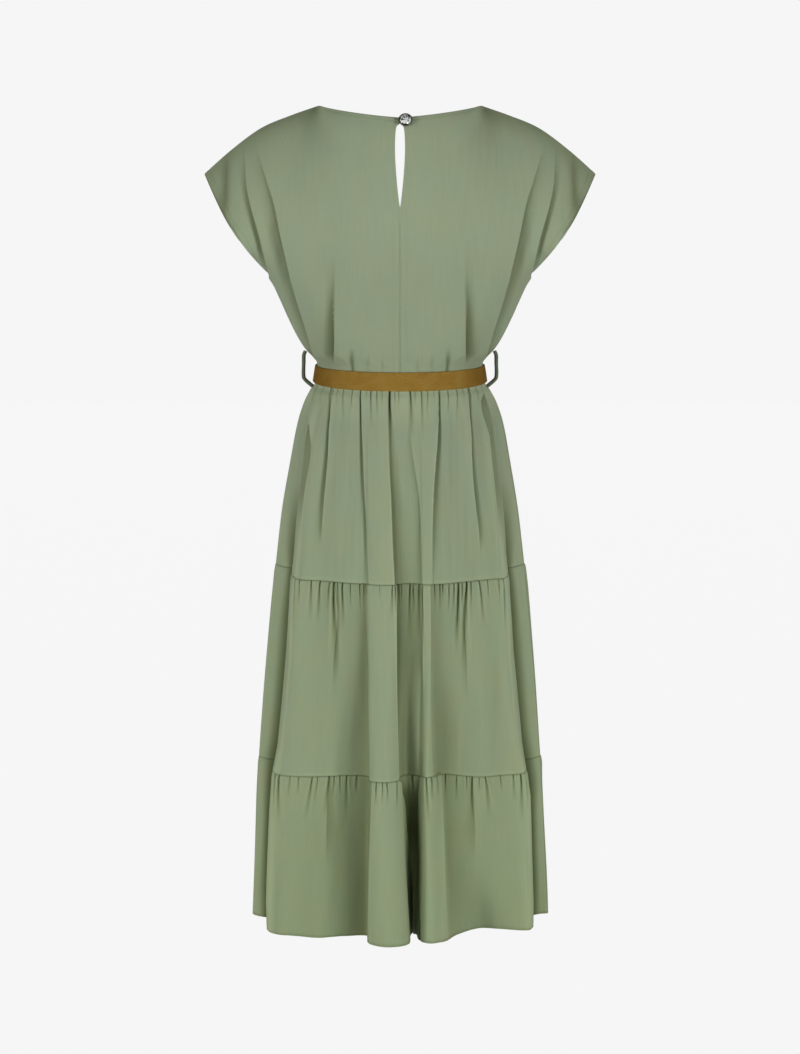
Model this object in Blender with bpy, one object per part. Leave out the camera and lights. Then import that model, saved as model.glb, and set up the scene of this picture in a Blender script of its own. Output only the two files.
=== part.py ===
"""Tiered A-line midi dress, worn form, hollow, with its woven belt.

Frame: metres, +Z up, +X is the wearer's right side, the back faces -Y. The origin is on the centre
line at the height of the middle of the shoulder seams, where the dress is held.
Lengths in the tables below are millimetres in that frame, and MM turns them into metres.
"""

import math
import random
from collections import namedtuple

import bpy
import numpy as np

MM = 0.001

# ---------------------------------------------------------------- driving dimensions (mm)
WALL = 1.5            # cloth thickness
GAP = 0.3             # between sewn pieces
NECK_Z = 30.0         # neck end of the shoulder seam above the origin
WAIST_Z = -344.0      # waist seam, at the middle of the belt
SEAM1_Z = -612.0
SEAM2_Z = -890.0
HEM_Z = -1123.0
WAIST_HALF_WIDTH = 116.5
WAIST_BACK = 88.0
WAIST_FRONT = 93.0

BELT_TOP = -330.0
BELT_BOTTOM = -357.0
BELT_THICK = 2.2
BELT_CLEAR = 0.9      # between the cloth and the belt
BELT_FLARE = 0.14     # the band leans out towards the hip
BELT_RISE = 0.045     # the band climbs towards the back
WAIST_LIFT_REACH = 110.0

# ---------------------------------------------------------------- tables (mm)
# How far the top tier has spread from the waist's form to that of seam 1, at each height.
Flare = namedtuple("Flare", "z share")
FLARES = [
    Flare(SEAM1_Z, 1.0),
    Flare(-540, 0.85),
    Flare(-469, 0.64),
    Flare(-415, 0.455),
    Flare(-384, 0.28),
    Flare(-366, 0.10),
    Flare(-358, 0.015),
    Flare(WAIST_Z, 0.0),
]
# One row for each crest or valley of the skirt's large folds, in order round the back from the
# wearer's left side seam to the right one. waist_x is its place on the waist oval.
Fold = namedtuple("Fold", "name waist_x seam1_x seam1_y seam2_x seam2_y hem_x hem_y")
BACK_FOLDS = [
    Fold("left_side", -116.5, -174, 0, -198, 0, -209, 0),
    Fold("left_tube", -115.5, -165, -17, -190, -14, -203, -13),
    Fold("left_groove", -112.5, -151, -34, -171, -28, -179, -28),
    Fold("left_edge", -107, -151, -76, -176, -68, -188, -62),
    Fold("left_turn", -97, -133, -101, -158, -104, -172, -95),
    Fold("left_panel", -81, -108, -115, -127, -116, -146, -109),
    Fold("left_swell", -67, -83, -127, -98, -113, -112, -117),
    Fold("left_dip", -58, -62, -133, -70, -104, -76, -104),
    Fold("left_valley", -50, -47, -135, -45, -106, -45, -96),
    Fold("tube_left", -43, -41, -139, -42, -138, -46, -138),
    Fold("tube_crest", -30, -24, -144, -24, -146, -22, -160),
    Fold("tube_right", -15, -8, -141, -3, -134, 10, -144),
    Fold("recess_left", -3, 6, -136, 3, -102, 13, -100),
    Fold("recess_floor", 12, 18, -134, 15, -82, 21, -80),
    Fold("recess_right", 24, 29, -137, 28, -90, 29, -96),
    Fold("right_ridge", 35, 40, -141, 34, -112, 35, -136),
    Fold("right_swell", 50, 60, -136, 58, -104, 60, -136),
    Fold("right_slope", 65, 84, -125, 84, -109, 85, -98),
    Fold("right_dip", 79, 108, -113, 113, -117, 113, -66),
    Fold("right_panel", 93, 131, -100, 142, -107, 147, -75),
    Fold("right_turn", 103, 145, -89, 165, -94, 174, -71),
    Fold("right_edge", 109, 151, -74, 177, -72, 190, -52),
    Fold("right_groove", 112.5, 151, -32, 172, -28, 181, -18),
    Fold("right_tube", 115.5, 165, -15, 190, -12, 203, -3),
    Fold("right_side", 116.5, 174, 0, 198, 0, 209, 0),
]
# The front's folds, going on from the right side seam back to the left one.
FRONT_FOLDS = [
    Fold("front_right_tube", 114, 164, 28, 190, 26, 203, 24),
    Fold("front_right_groove", 108, 146, 48, 168, 40, 178, 38),
    Fold("front_right_edge", 99, 138, 82, 166, 78, 181, 78),
    Fold("front_right_panel", 84, 112, 110, 140, 114, 158, 116),
    Fold("front_right_swell", 68, 86, 126, 108, 128, 122, 132),
    Fold("front_right_dip", 52, 62, 132, 78, 118, 90, 112),
    Fold("front_right_valley", 40, 44, 133, 52, 104, 60, 92),
    Fold("front_tube_right", 28, 30, 140, 38, 134, 46, 132),
    Fold("front_tube_crest", 12, 12, 146, 16, 150, 20, 160),
    Fold("front_tube_left", -4, -8, 144, -10, 140, -8, 146),
    Fold("front_recess", -18, -24, 135, -26, 98, -26, 90),
    Fold("front_ridge", -34, -44, 138, -46, 130, -48, 136),
    Fold("front_left_swell", -50, -64, 133, -72, 130, -76, 138),
    Fold("front_left_dip", -64, -84, 122, -98, 110, -106, 100),
    Fold("front_left_panel", -84, -110, 110, -128, 114, -140, 108),
    Fold("front_left_turn", -96, -132, 92, -154, 98, -167, 100),
    Fold("front_left_edge", -104, -144, 70, -170, 68, -184, 66),
    Fold("front_left_groove", -110, -150, 40, -172, 34, -182, 32),
    Fold("front_left_tube", -114.5, -165, 20, -190, 18, -203, 18),
]

# Gathers: x is the place along the seam, lean how far the trough wanders sideways on its way down.
Gather = namedtuple("Gather", "x depth length lean")
WAIST_BACK_GATHERS = [
    Gather(-95, 3.6, 190, 6), Gather(-78, 1.8, 60, 3), Gather(-66, 1.6, 40, 1),
    Gather(-55, 2.6, 240, 8), Gather(-40, 1.6, 50, 1), Gather(-30, 1.5, 36, 0),
    Gather(-14, 3.6, 240, 7), Gather(-4, 1.4, 40, 0), Gather(14, 3.0, 190, 12),
    Gather(30, 2.0, 70, 2), Gather(38, 1.5, 40, 1), Gather(56, 2.8, 190, -7),
    Gather(66, 1.6, 45, 0), Gather(78, 1.5, 40, 2), Gather(95, 3.6, 190, 12),
]
SEAM1_BACK_GATHERS = [
    Gather(-125, 1.6, 26, -2), Gather(-112, 2.0, 48, -3), Gather(-94, 2.8, 115, 2),
    Gather(-81, 2.2, 52, 0), Gather(-62, 1.6, 24, 0), Gather(-50, 1.8, 28, 0),
    Gather(-7, 1.8, 40, 0), Gather(3, 1.7, 28, 0), Gather(18, 2.0, 60, 0),
    Gather(31, 2.4, 80, 0), Gather(56, 1.8, 28, 0), Gather(69, 1.6, 24, 0),
    Gather(82, 2.4, 86, -2), Gather(94, 2.8, 102, -3), Gather(110, 2.2, 52, 9),
    Gather(123, 1.6, 24, 2), Gather(140, 1.6, 22, 2),
]
SEAM2_BACK_GATHERS = [
    Gather(-169, 2.2, 52, -4), Gather(-156, 1.8, 22, -3), Gather(-122, 2.6, 48, -12),
    Gather(-99, 2.4, 44, -6), Gather(-75, 2.4, 42, 1), Gather(-60, 1.6, 22, 0),
    Gather(-33, 1.8, 24, -3), Gather(-18, 1.8, 22, 0), Gather(-7, 1.6, 20, 2),
    Gather(41, 2.0, 30, 2), Gather(60, 1.6, 22, 0), Gather(76, 1.6, 20, 0),
    Gather(99, 2.4, 48, 4), Gather(123, 2.4, 44, 11), Gather(156, 2.0, 26, 7),
    Gather(168, 2.2, 42, 4),
]
WAIST_FRONT_GATHERS = [
    Gather(96, 3.2, 170, 10), Gather(74, 1.8, 60, 3), Gather(58, 2.4, 150, 6),
    Gather(41, 1.8, 50, 0), Gather(22, 3.4, 220, 6), Gather(5, 1.7, 44, 0),
    Gather(-13, 3.0, 210, -5), Gather(-31, 1.9, 70, -2), Gather(-52, 2.6, 180, -7),
    Gather(-70, 1.7, 44, -2), Gather(-92, 3.4, 180, -9),
]
SEAM1_FRONT_GATHERS = [
    Gather(120, 1.8, 30, 3), Gather(101, 2.6, 105, 3), Gather(78, 2.0, 44, 0),
    Gather(52, 2.4, 90, 0), Gather(27, 1.8, 32, 0), Gather(-4, 2.0, 46, 0),
    Gather(-22, 2.6, 110, 0), Gather(-55, 1.8, 32, 0), Gather(-77, 2.4, 84, -2),
    Gather(-104, 2.2, 54, -5), Gather(-127, 1.7, 26, -3),
]
SEAM2_FRONT_GATHERS = [
    Gather(160, 2.0, 40, 4), Gather(136, 2.2, 50, 8), Gather(108, 1.8, 28, 3),
    Gather(80, 2.4, 48, 2), Gather(30, 1.8, 26, 0), Gather(5, 2.0, 40, 0),
    Gather(-44, 2.0, 34, -1), Gather(-80, 2.4, 46, -4), Gather(-112, 1.8, 28, -3),
    Gather(-142, 2.4, 48, -9), Gather(-165, 1.9, 30, -3),
]
# Small gathers fill the seam between the large ones, about this far apart.
WAIST_FILL = 34.0
SEAM1_FILL = 16.5
SEAM2_FILL = 22.0
FILL_DEPTH = 1.6
FILL_LENGTH = 24.0
GATHER_SCALE = 1.9    # deepens every gather of the tables
GATHER_WIDTH = 3.1    # a trough's half width at the seam
GATHER_SPREAD = 0.05  # and how fast it widens downwards
GATHER_HELD = 0.25    # share of the way to full depth at the seam itself, and
GATHER_OPEN = 5.0     # the drop below it over which a trough opens
GATHER_FADE = 1.2     # power of a trough's dying out downwards
PUFF = 1.8            # a gathered tier swells out this far below its seam
PUFF_DROP = 7.0       # how soon
PUFF_REACH = 160.0    # and how far down
SIDE_REACH = 6.0      # gathers and puffs start this far from a side seam

# Bodice sections at the side seam and the centres, from the waist up to the underarm.
Section = namedtuple("Section", "name z half_width back front")
BODICE_SECTIONS = [
    Section("waist", WAIST_Z, 116.5, 88, 93),
    Section("belt_top", -329, 114.8, 86.3, 91.3),
    Section("fold_over", -320, 122, 91, 97),
    Section("blouse", -310, 130, 95, 102),
    Section("lower_ribs", -286, 144.5, 100, 111),
    Section("ribs", -258, 157.5, 103.5, 119),
    Section("bust", -230, 169.5, 105.5, 124),
    Section("underarm", -203, 182, 106, 125),
]
CHEST_SHARE = 0.42        # how far up a panel the underarm line is
CHEST_RISE = 13.0         # the underarm line climbs this much towards the centres
CHEST_POWER = 2.35        # squareness of the section at the underarm
# Shoulder seam from the sleeve tip to the neck.
Seam = namedtuple("Seam", "name x z")
SHOULDER = [
    Seam("tip", -269, -64),
    Seam("cap", -232, -31.5),
    Seam("point", -190, -1),
    Seam("middle", -151, 15.5),
    Seam("neck", -111, 29.5),
]
NECK_HALF = 111.0
NECK_BACK_Y = 64.0        # the back neckline's centre behind the shoulder seam
NECK_BACK_Z = 17.0
NECK_BACK_POWER = 1.2
NECK_FRONT_Y = 112.0      # the V's point
NECK_FRONT_Z = -145.0
SLEEVE_OPEN = 60.0        # the sleeve edge stands this far from the shoulder plane
SLEEVE_ROUND = 0.85       # roundness of that opening
SLEEVE_BOW = 3.4          # and bows down this far from a straight line
SLEEVE_BOW_ACROSS = 0.75  # and out this share of that
CHEST_HOLD = 2.3          # how far up the panel keeps its depth before it turns to the shoulder
CHEST_ROUND = 0.85        # roundness of that turn

# Long soft folds of a bodice half: the line of each step (x, z on the left half), how high the inner
# side stands, how soon it rises and how far it runs out towards the centre.
Pleat = namedtuple("Pleat", "name line height rise fade")
BACK_PLEATS = [
    Pleat("underarm_pleat", ((-214, -40), (-208, -86), (-198, -130), (-189, -168), (-180, -200)),
          7.0, 3.5, 30.0),
    Pleat("back_pleat", ((-196, -30), (-174, -92), (-157, -170), (-132, -260), (-116, -320)),
          9.0, 8.0, 60.0),
]
FRONT_PLEATS = [
    Pleat("front_underarm_pleat", ((-216, -44), (-206, -92), (-194, -140), (-180, -196)),
          6.0, 5.0, 30.0),
    Pleat("front_pleat", ((-190, -28), (-168, -100), (-150, -180), (-128, -262), (-114, -320)),
          8.0, 9.0, 55.0),
]
PLEAT_END = 26.0          # a pleat dies out over this length at each end
PLEAT_DIP = 0.35          # share of its height that the cloth sinks outside the step
PLEAT_DIP_WIDTH = 1.6     # half width of that dip, in rises
CREASE_TOP = 60.0         # a crease fades in over this length
CREASE_FOOT = 10.0        # and out over this one
Crease = namedtuple("Crease", "x top bottom depth width")
BACK_CREASES = [Crease(-93, -166, -322, 2.4, 5.0), Crease(-67, -300, -334, 2.2, 4.0)]
FRONT_CREASES = [
    Crease(-98, -190, -322, 2.6, 6.0),
    Crease(-58, -270, -332, 2.2, 5.0),
    Crease(-26, -286, -332, 2.0, 5.0),
]

# Keyhole below the back neck.
KEYHOLE_TOP = 9.0
KEYHOLE_FOOT = -102.0
KEYHOLE_HALF = 7.0
KEYHOLE_CORNER = 1.8      # half the slit between the two neck corners
KEYHOLE_NECK = 0.2        # share of the drop down to which the slit is at least that wide
KEYHOLE_RISE = 0.55       # lifts the widest place above the middle
KEYHOLE_ROUND = 0.8
KEYHOLE_HOLD = 6          # how closely the cloth's move aside keeps to its edge

COLOURS = {
    "crepe": ((0.262, 0.319, 0.216), 0.85, 0.0),
    "belt_weave": ((0.262, 0.156, 0.028), 0.8, 0.0),
    "crystal": ((0.80, 0.83, 0.82), 0.05, 0.0),
    "dark_metal": ((0.05, 0.06, 0.045), 0.35, 0.9),
}


# ---------------------------------------------------------------- small maths
def smooth(t):
    """Smoothstep of t, held at 0 and 1 outside."""
    t = np.clip(t, 0.0, 1.0)
    return t * t * (3.0 - 2.0 * t)


def hermite(knots, values, at, even=False):
    """Smooth curve through values (one row for each knot), read at each place in at. With even, it
    never passes beyond two neighbouring values."""
    knots = np.asarray(knots, float)
    values = np.asarray(values, float).reshape(len(knots), -1)
    steps = np.diff(knots)[:, None]
    slopes = np.diff(values, axis=0) / steps
    tangents = np.empty_like(values)
    tangents[1:-1] = (slopes[:-1] * steps[1:] + slopes[1:] * steps[:-1]) / (steps[:-1] + steps[1:])
    if even:
        both = slopes[:-1] * slopes[1:]
        total = slopes[:-1] + slopes[1:]
        tangents[1:-1] = np.where(both > 0, 2 * both / np.where(np.abs(total) < 1e-12, 1, total), 0)
    tangents[0] = slopes[0]
    tangents[-1] = slopes[-1]
    at = np.atleast_1d(np.asarray(at, float))
    k = np.clip(np.searchsorted(knots, at, side="right") - 1, 0, len(knots) - 2)
    h = (knots[k + 1] - knots[k])[:, None]
    t = ((at - knots[k]) / h[:, 0])[:, None]
    return (
        (1 + 2 * t) * (1 - t) ** 2 * values[k]
        + t * (1 - t) ** 2 * h * tangents[k]
        + t * t * (3 - 2 * t) * values[k + 1]
        + t * t * (t - 1) * h * tangents[k + 1]
    )


def waist_lift(y, z):
    """The waist seam and the belt climb towards the back; the cloth near them follows."""
    return -y * BELT_RISE * smooth(1 - np.abs(z - WAIST_Z) / WAIST_LIFT_REACH)


# ---------------------------------------------------------------- skirt form
class Skirt:
    """The ring of large folds. A place along it is u, the mean run in mm from the left side seam
    round the back to the right side seam and on round the front."""

    def __init__(self):
        rows = BACK_FOLDS + FRONT_FOLDS + BACK_FOLDS[:1]
        self.forms = [
            np.array([(r.seam1_x, r.seam1_y) for r in rows], float),
            np.array([(r.seam2_x, r.seam2_y) for r in rows], float),
            np.array([(r.hem_x, r.hem_y) for r in rows], float),
        ]
        runs = [np.hypot(*np.diff(form, axis=0).T) for form in self.forms]
        self.knots = np.concatenate([[0.0], np.cumsum(np.mean(runs, axis=0))])
        self.half = self.knots[len(BACK_FOLDS) - 1]
        self.full = self.knots[-1]
        turned = []
        for i, row in enumerate(rows):
            back = i < len(BACK_FOLDS)
            angle = math.acos(max(-1.0, min(1.0, -row.waist_x / WAIST_HALF_WIDTH)))
            turned.append(angle if back else 2 * math.pi - angle)
        turned[-1] = 2 * math.pi
        self.angles = np.array(turned)

    def ring(self, form, u):
        """Points of one station's closed curve."""
        period = self.full
        knots = np.concatenate([self.knots[-4:-1] - period, self.knots, self.knots[1:4] + period])
        values = np.concatenate([form[-4:-1], form, form[1:4]])
        return hermite(knots, values, u)

    def waist(self, u):
        angle = np.interp(u, self.knots, self.angles)
        depth = np.where(angle < math.pi, WAIST_BACK, WAIST_FRONT)
        return np.stack([-WAIST_HALF_WIDTH * np.cos(angle), -depth * np.sin(angle)], axis=1)

    def plan(self, u, z):
        """The large form at places u (array) and one height z: x, y."""
        u = np.asarray(u, float)
        waist = self.waist(u)
        seam1, seam2, hem = (self.ring(form, u) for form in self.forms)
        if z >= SEAM1_Z:
            share = hermite([f.z for f in FLARES], [f.share for f in FLARES], z, even=True)[0, 0]
            return waist + (seam1 - waist) * share
        above = waist + (seam1 - waist) * FLARES[1].share
        heights = [-FLARES[1].z, -SEAM1_Z, -SEAM2_Z, -HEM_Z]
        stations = np.stack([above, seam1, seam2, hem]).reshape(len(heights), -1)
        return hermite(heights, stations, [-z])[0].reshape(-1, 2)

    def points(self, u, z, offset):
        """Form moved out by offset (mm, one value for each u) along the level normal."""
        u = np.asarray(u, float)
        here = self.plan(u, z)
        along = self.plan(u + 1.0, z) - self.plan(u - 1.0, z)
        along /= np.maximum(np.hypot(along[:, 0], along[:, 1]), 1e-9)[:, None]
        normal = np.stack([along[:, 1], -along[:, 0]], axis=1)
        at_side = (np.abs(u) < 0.5) | (np.abs(u - self.half) < 0.5) | (np.abs(u - self.full) < 0.5)
        normal[at_side, 1] = 0.0
        normal[at_side, 0] = np.sign(here[at_side, 0])
        moved = here + normal * np.asarray(offset, float)[:, None]
        return np.column_stack([moved, z + waist_lift(moved[:, 1], z)])


SKIRT = Skirt()


def seam_place(x, z, front):
    """u of the point of a seam at this x, searched along the back or the front."""
    lo, hi = (SKIRT.half, SKIRT.full) if front else (0.0, SKIRT.half)
    u = np.linspace(lo, hi, 600)
    xs = SKIRT.plan(u, z)[:, 0]
    return float(u[np.argmin(np.abs(xs - x))])


def filled(mains, z, front, spacing, seed):
    """The large gathers as (u, depth, length, lean), with small ones between them."""
    rng = random.Random(seed)
    sign = -1 if front else 1
    rows = sorted((seam_place(g.x, z, front), g.depth, g.length, sign * g.lean) for g in mains)
    lo, hi = (SKIRT.half, SKIRT.full) if front else (0.0, SKIRT.half)
    ends = [lo + 10] + [row[0] for row in rows] + [hi - 10]
    small = []
    for left, right in zip(ends, ends[1:]):
        count = int((right - left) / spacing - 0.35)
        for k in range(count):
            place = left + (right - left) * (k + 1 + rng.uniform(-0.16, 0.16)) / (count + 1)
            depth = FILL_DEPTH * rng.uniform(0.6, 1.25)
            small.append((place, depth, FILL_LENGTH * rng.uniform(0.5, 1.7), 0.0))
    return sorted(rows + small)


FINE_DROP = 130.0     # below this drop a row follows only the large folds
NEAR_DROP = 26.0      # above this drop it follows every gather
WIDE_SPACE = 5.0      # gathers further apart than this many widths get two crests between them
COLUMN_SPACE = 4.0    # least distance of a large fold's column from a gather's


class Tier:
    """One tier panel: its gathers and where they put the cloth."""

    def __init__(self, name, top, bottom, front, mains, spacing, seed, puff):
        self.name, self.top, self.bottom, self.front, self.puff = name, top, bottom, front, puff
        self.gathers = filled(mains, top, front, spacing, seed)
        self.ends = (SKIRT.half, SKIRT.full) if front else (0.0, SKIRT.half)

    def relief(self, u, z):
        """How far the cloth lies off the large form, outwards, in mm."""
        u = np.asarray(u, float)
        drop = self.top - z
        swell = self.puff * (1 - math.exp(-drop / PUFF_DROP)) * (1 - smooth(drop / PUFF_REACH))
        off = np.full(len(u), float(swell))
        for place, depth, length, lean in self.gathers:
            if drop >= length:
                continue
            width = GATHER_WIDTH + GATHER_SPREAD * drop
            fade = (1 - drop / length) ** GATHER_FADE * smooth(GATHER_HELD + drop / GATHER_OPEN)
            centre = place + lean * drop / length
            off -= GATHER_SCALE * depth * fade * np.exp(-(((u - centre) / width) ** 2))
        lo, hi = self.ends
        return off * smooth((u - lo) / SIDE_REACH) * smooth((hi - u) / SIDE_REACH)

    def columns(self, drop):
        """Places of a row's vertices: crests and troughs near the seam, and the large folds' own."""
        lo, hi = self.ends
        knots = SKIRT.knots[(SKIRT.knots >= lo - 0.01) & (SKIRT.knots <= hi + 0.01)]
        middles = (knots[1:] + knots[:-1]) / 2
        coarse = np.sort(np.concatenate([knots, middles]))
        if drop > FINE_DROP:
            return coarse
        long_enough = [g for g in self.gathers if drop < g[2] or drop < NEAR_DROP]
        if not long_enough:
            return coarse
        troughs = np.array([g[0] + g[3] * drop / g[2] for g in long_enough])
        width = GATHER_WIDTH + GATHER_SPREAD * drop
        crests = []
        for left, right in zip(troughs, troughs[1:]):
            wide = right - left > WIDE_SPACE * width
            crests += [left + 2 * width, right - 2 * width] if wide else [(left + right) / 2]
        fine = np.sort(np.concatenate([troughs, crests]))
        extra = [k for k in coarse if np.min(np.abs(fine - k)) > COLUMN_SPACE or k in (lo, hi)]
        return np.unique(np.concatenate([fine, extra, [lo, hi]]))


# ---------------------------------------------------------------- bodice form
def shoulder_z(x):
    """Height of the shoulder seam at -|x|."""
    return hermite([s.x for s in SHOULDER], [s.z for s in SHOULDER], x)[:, 0]


def top_line(x, front):
    """The panel's upper edge at x (from the sleeve tip to the centre): y and z."""
    share = np.clip(np.abs(x) / NECK_HALF, 0.0, 1.0)
    on_neck = np.abs(x) < NECK_HALF
    if front:
        y = NECK_FRONT_Y * (1 - share**2.4)
        z = NECK_FRONT_Z + (NECK_Z - 0.5 - NECK_FRONT_Z) * share**1.06
    else:
        y = -NECK_BACK_Y * np.sqrt(1 - share**2)
        z = NECK_BACK_Z + (NECK_Z - 0.5 - NECK_BACK_Z) * share**NECK_BACK_POWER
    return np.where(on_neck, y, 0.0), np.where(on_neck, z, shoulder_z(np.minimum(x, -NECK_HALF)))


def bodice_base(u, v, front):
    """Left half panel without folds. u: 0 at the side edge, 1 at the centre; v: 0 waist, 1 top."""
    u = np.asarray(u, float)
    v = np.asarray(v, float)
    turn = u * math.pi / 2
    power = 2 + (CHEST_POWER - 2) * np.clip(v / CHEST_SHARE, 0, 1) ** 2
    across = -np.cos(turn) ** (2 / power)
    back = np.sin(turn) ** (2 / power)
    low = np.clip(v / CHEST_SHARE, 0, 1)
    side_z = WAIST_Z + (BODICE_SECTIONS[-1].z - WAIST_Z) * low
    sizes = hermite(
        [s.z for s in BODICE_SECTIONS],
        [(s.half_width, s.back, s.front) for s in BODICE_SECTIONS],
        side_z,
        even=True,
    )
    depth = sizes[:, 2] if front else -sizes[:, 1]
    x = sizes[:, 0] * across
    y = depth * back
    z = side_z + CHEST_RISE * low * u * u
    # above the underarm line
    t = np.clip((v - CHEST_SHARE) / (1 - CHEST_SHARE), 0, 1)
    reach = SHOULDER[0].x / -BODICE_SECTIONS[-1].half_width
    widen = 1 + (reach - 1) * (x / BODICE_SECTIONS[-1].half_width) ** 2
    top_x = x * widen
    top_y, top_z = top_line(top_x, front)
    bow = SLEEVE_BOW * np.sin(math.pi * t) * (1 - u) ** 3
    opening = SLEEVE_OPEN * np.sin(math.pi * t) ** SLEEVE_ROUND * (1 - u) ** 4
    hold = (1 - t**CHEST_HOLD) ** CHEST_ROUND
    up_x = x + (top_x - x) * t - bow * SLEEVE_BOW_ACROSS
    up_y = top_y + (y - top_y) * hold + (opening if front else -opening)
    up_z = z + (top_z - z) * t - bow
    high = v > CHEST_SHARE
    return np.stack([np.where(high, up_x, x), np.where(high, up_y, y), np.where(high, up_z, z)], axis=-1)


def pleat_relief(x, z, pleats, creases):
    """Outward move of the cloth at (x, z) of the left half, from its pleats and creases."""
    off = np.zeros_like(x)
    for pleat in pleats:
        line = np.array(pleat.line, float)
        order = np.argsort(line[:, 1])
        top, bottom = line[:, 1].max(), line[:, 1].min()
        side = x - hermite(line[order, 1], line[order, 0], np.clip(z, bottom, top))[:, 0]
        ends = smooth((top + PLEAT_END - z) / (2 * PLEAT_END))
        ends = ends * smooth((z - bottom + PLEAT_END) / PLEAT_END)
        rise = smooth(side / pleat.rise + 0.5)
        run_out = np.exp(-np.maximum(side, 0) / pleat.fade)
        dip = -PLEAT_DIP * np.exp(-(((side + pleat.rise) / (PLEAT_DIP_WIDTH * pleat.rise)) ** 2))
        off += pleat.height * ends * (rise * run_out + dip)
    for crease in creases:
        ends = smooth((crease.top - z) / CREASE_TOP) * smooth((z - crease.bottom) / CREASE_FOOT + 1)
        off -= crease.depth * ends * np.exp(-(((x - crease.x) / crease.width) ** 2))
    return off


def keyhole_half(z):
    """Half the opening between the back halves at height z."""
    z = np.asarray(z, float)
    down = np.clip((KEYHOLE_TOP - z) / (KEYHOLE_TOP - KEYHOLE_FOOT), 0, 1)
    drop_shape = KEYHOLE_HALF * np.sin(math.pi * down**KEYHOLE_RISE) ** KEYHOLE_ROUND
    return np.maximum(drop_shape, np.where(down < KEYHOLE_NECK, KEYHOLE_CORNER, 0))


NORMAL_STEP = 0.004       # step for the form's slopes, as a share of the panel
EDGE_FADE = 0.06          # folds die out within this share of the panel's edges
BELT_FADE = 22.0          # and over this height above the belt


def bodice_rows(us, vs, front):
    """Outer and inner points, (rows, columns, 3), of the left half panel; us has a row for each v."""
    pleats, creases = (FRONT_PLEATS, FRONT_CREASES) if front else (BACK_PLEATS, BACK_CREASES)

    def base(u, v):
        shape = u.shape
        return bodice_base(np.clip(u, 0, 1).ravel(), np.clip(v, 0, 1).ravel(), front).reshape(*shape, 3)

    u = np.asarray(us, float)
    v = np.repeat(np.asarray(vs, float)[:, None], u.shape[1], axis=1)
    here = base(u, v)
    along = base(u + NORMAL_STEP, v) - base(u - NORMAL_STEP, v)
    up = base(u, v + NORMAL_STEP) - base(u, v - NORMAL_STEP)
    normal = np.cross(along, up)
    if front:
        normal = -normal
    normal[:, -1, 0] = 0.0
    top = v >= 0.999
    side = (u <= 1e-6) & (v <= CHEST_SHARE)
    seam = side | (top & (here[..., 0] < -NECK_HALF + 0.5))
    normal[..., 1] = np.where(seam, 0.0, normal[..., 1])
    normal[0, :, 2] = 0.0
    normal /= np.maximum(np.linalg.norm(normal, axis=-1), 1e-9)[..., None]
    relief = pleat_relief(here[..., 0].ravel(), here[..., 2].ravel(), pleats, creases).reshape(u.shape)
    relief *= smooth((1 - v) / EDGE_FADE) * smooth(u / EDGE_FADE)
    relief *= smooth((here[..., 2] - BELT_TOP) / BELT_FADE)
    outer = here + normal * relief[..., None]
    inner = outer - normal * WALL
    for rows in (outer, inner):
        rows[0, :, 2] = WAIST_Z + GAP / 2
        rows[..., 2] += waist_lift(rows[..., 1], rows[..., 2])
        rows[0, :, 2] = WAIST_Z + GAP / 2 - rows[0, :, 1] * BELT_RISE
    return outer, inner


# ---------------------------------------------------------------- meshes
def clear_scene():
    for obj in list(bpy.data.objects):
        bpy.data.objects.remove(obj, do_unlink=True)


def material(kind):
    found = bpy.data.materials.get(kind)
    if found:
        return found
    colour, roughness, metallic = COLOURS[kind]
    made = bpy.data.materials.new(kind)
    made.use_nodes = True
    shader = made.node_tree.nodes["Principled BSDF"]
    shader.inputs["Base Color"].default_value = (*colour, 1)
    shader.inputs["Roughness"].default_value = roughness
    shader.inputs["Metallic"].default_value = metallic
    return made


def add_object(name, points, faces, kind, crease_angle=50):
    """One closed body from points in mm, its faces turned outwards."""
    points = np.asarray(points, float) * MM
    faces = [tuple(int(i) for i in face) for face in faces]
    volume = 0.0
    for face in faces:
        for i in range(1, len(face) - 1):
            a, b, c = points[face[0]], points[face[i]], points[face[i + 1]]
            volume += float(np.dot(a, np.cross(b, c)))
    if volume < 0:
        faces = [face[::-1] for face in faces]
    mesh = bpy.data.meshes.new(name)
    mesh.from_pydata([tuple(p) for p in points], [], faces)
    mesh.validate()
    mesh.shade_smooth()
    mesh.set_sharp_from_angle(angle=math.radians(crease_angle))
    obj = bpy.data.objects.new(name, mesh)
    obj.data.materials.append(material(kind))
    bpy.context.scene.collection.objects.link(obj)
    return obj


def stitch(lower, upper, lower_at, upper_at):
    """Triangles between two rows of vertices, ordered by their places along the rows."""
    faces = []
    i = j = 0
    while i < len(lower) - 1 or j < len(upper) - 1:
        if j == len(upper) - 1 or (i < len(lower) - 1 and lower_at[i + 1] <= upper_at[j + 1]):
            faces.append((lower[i], lower[i + 1], upper[j]))
            i += 1
        else:
            faces.append((lower[i], upper[j + 1], upper[j]))
            j += 1
    return faces


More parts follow.
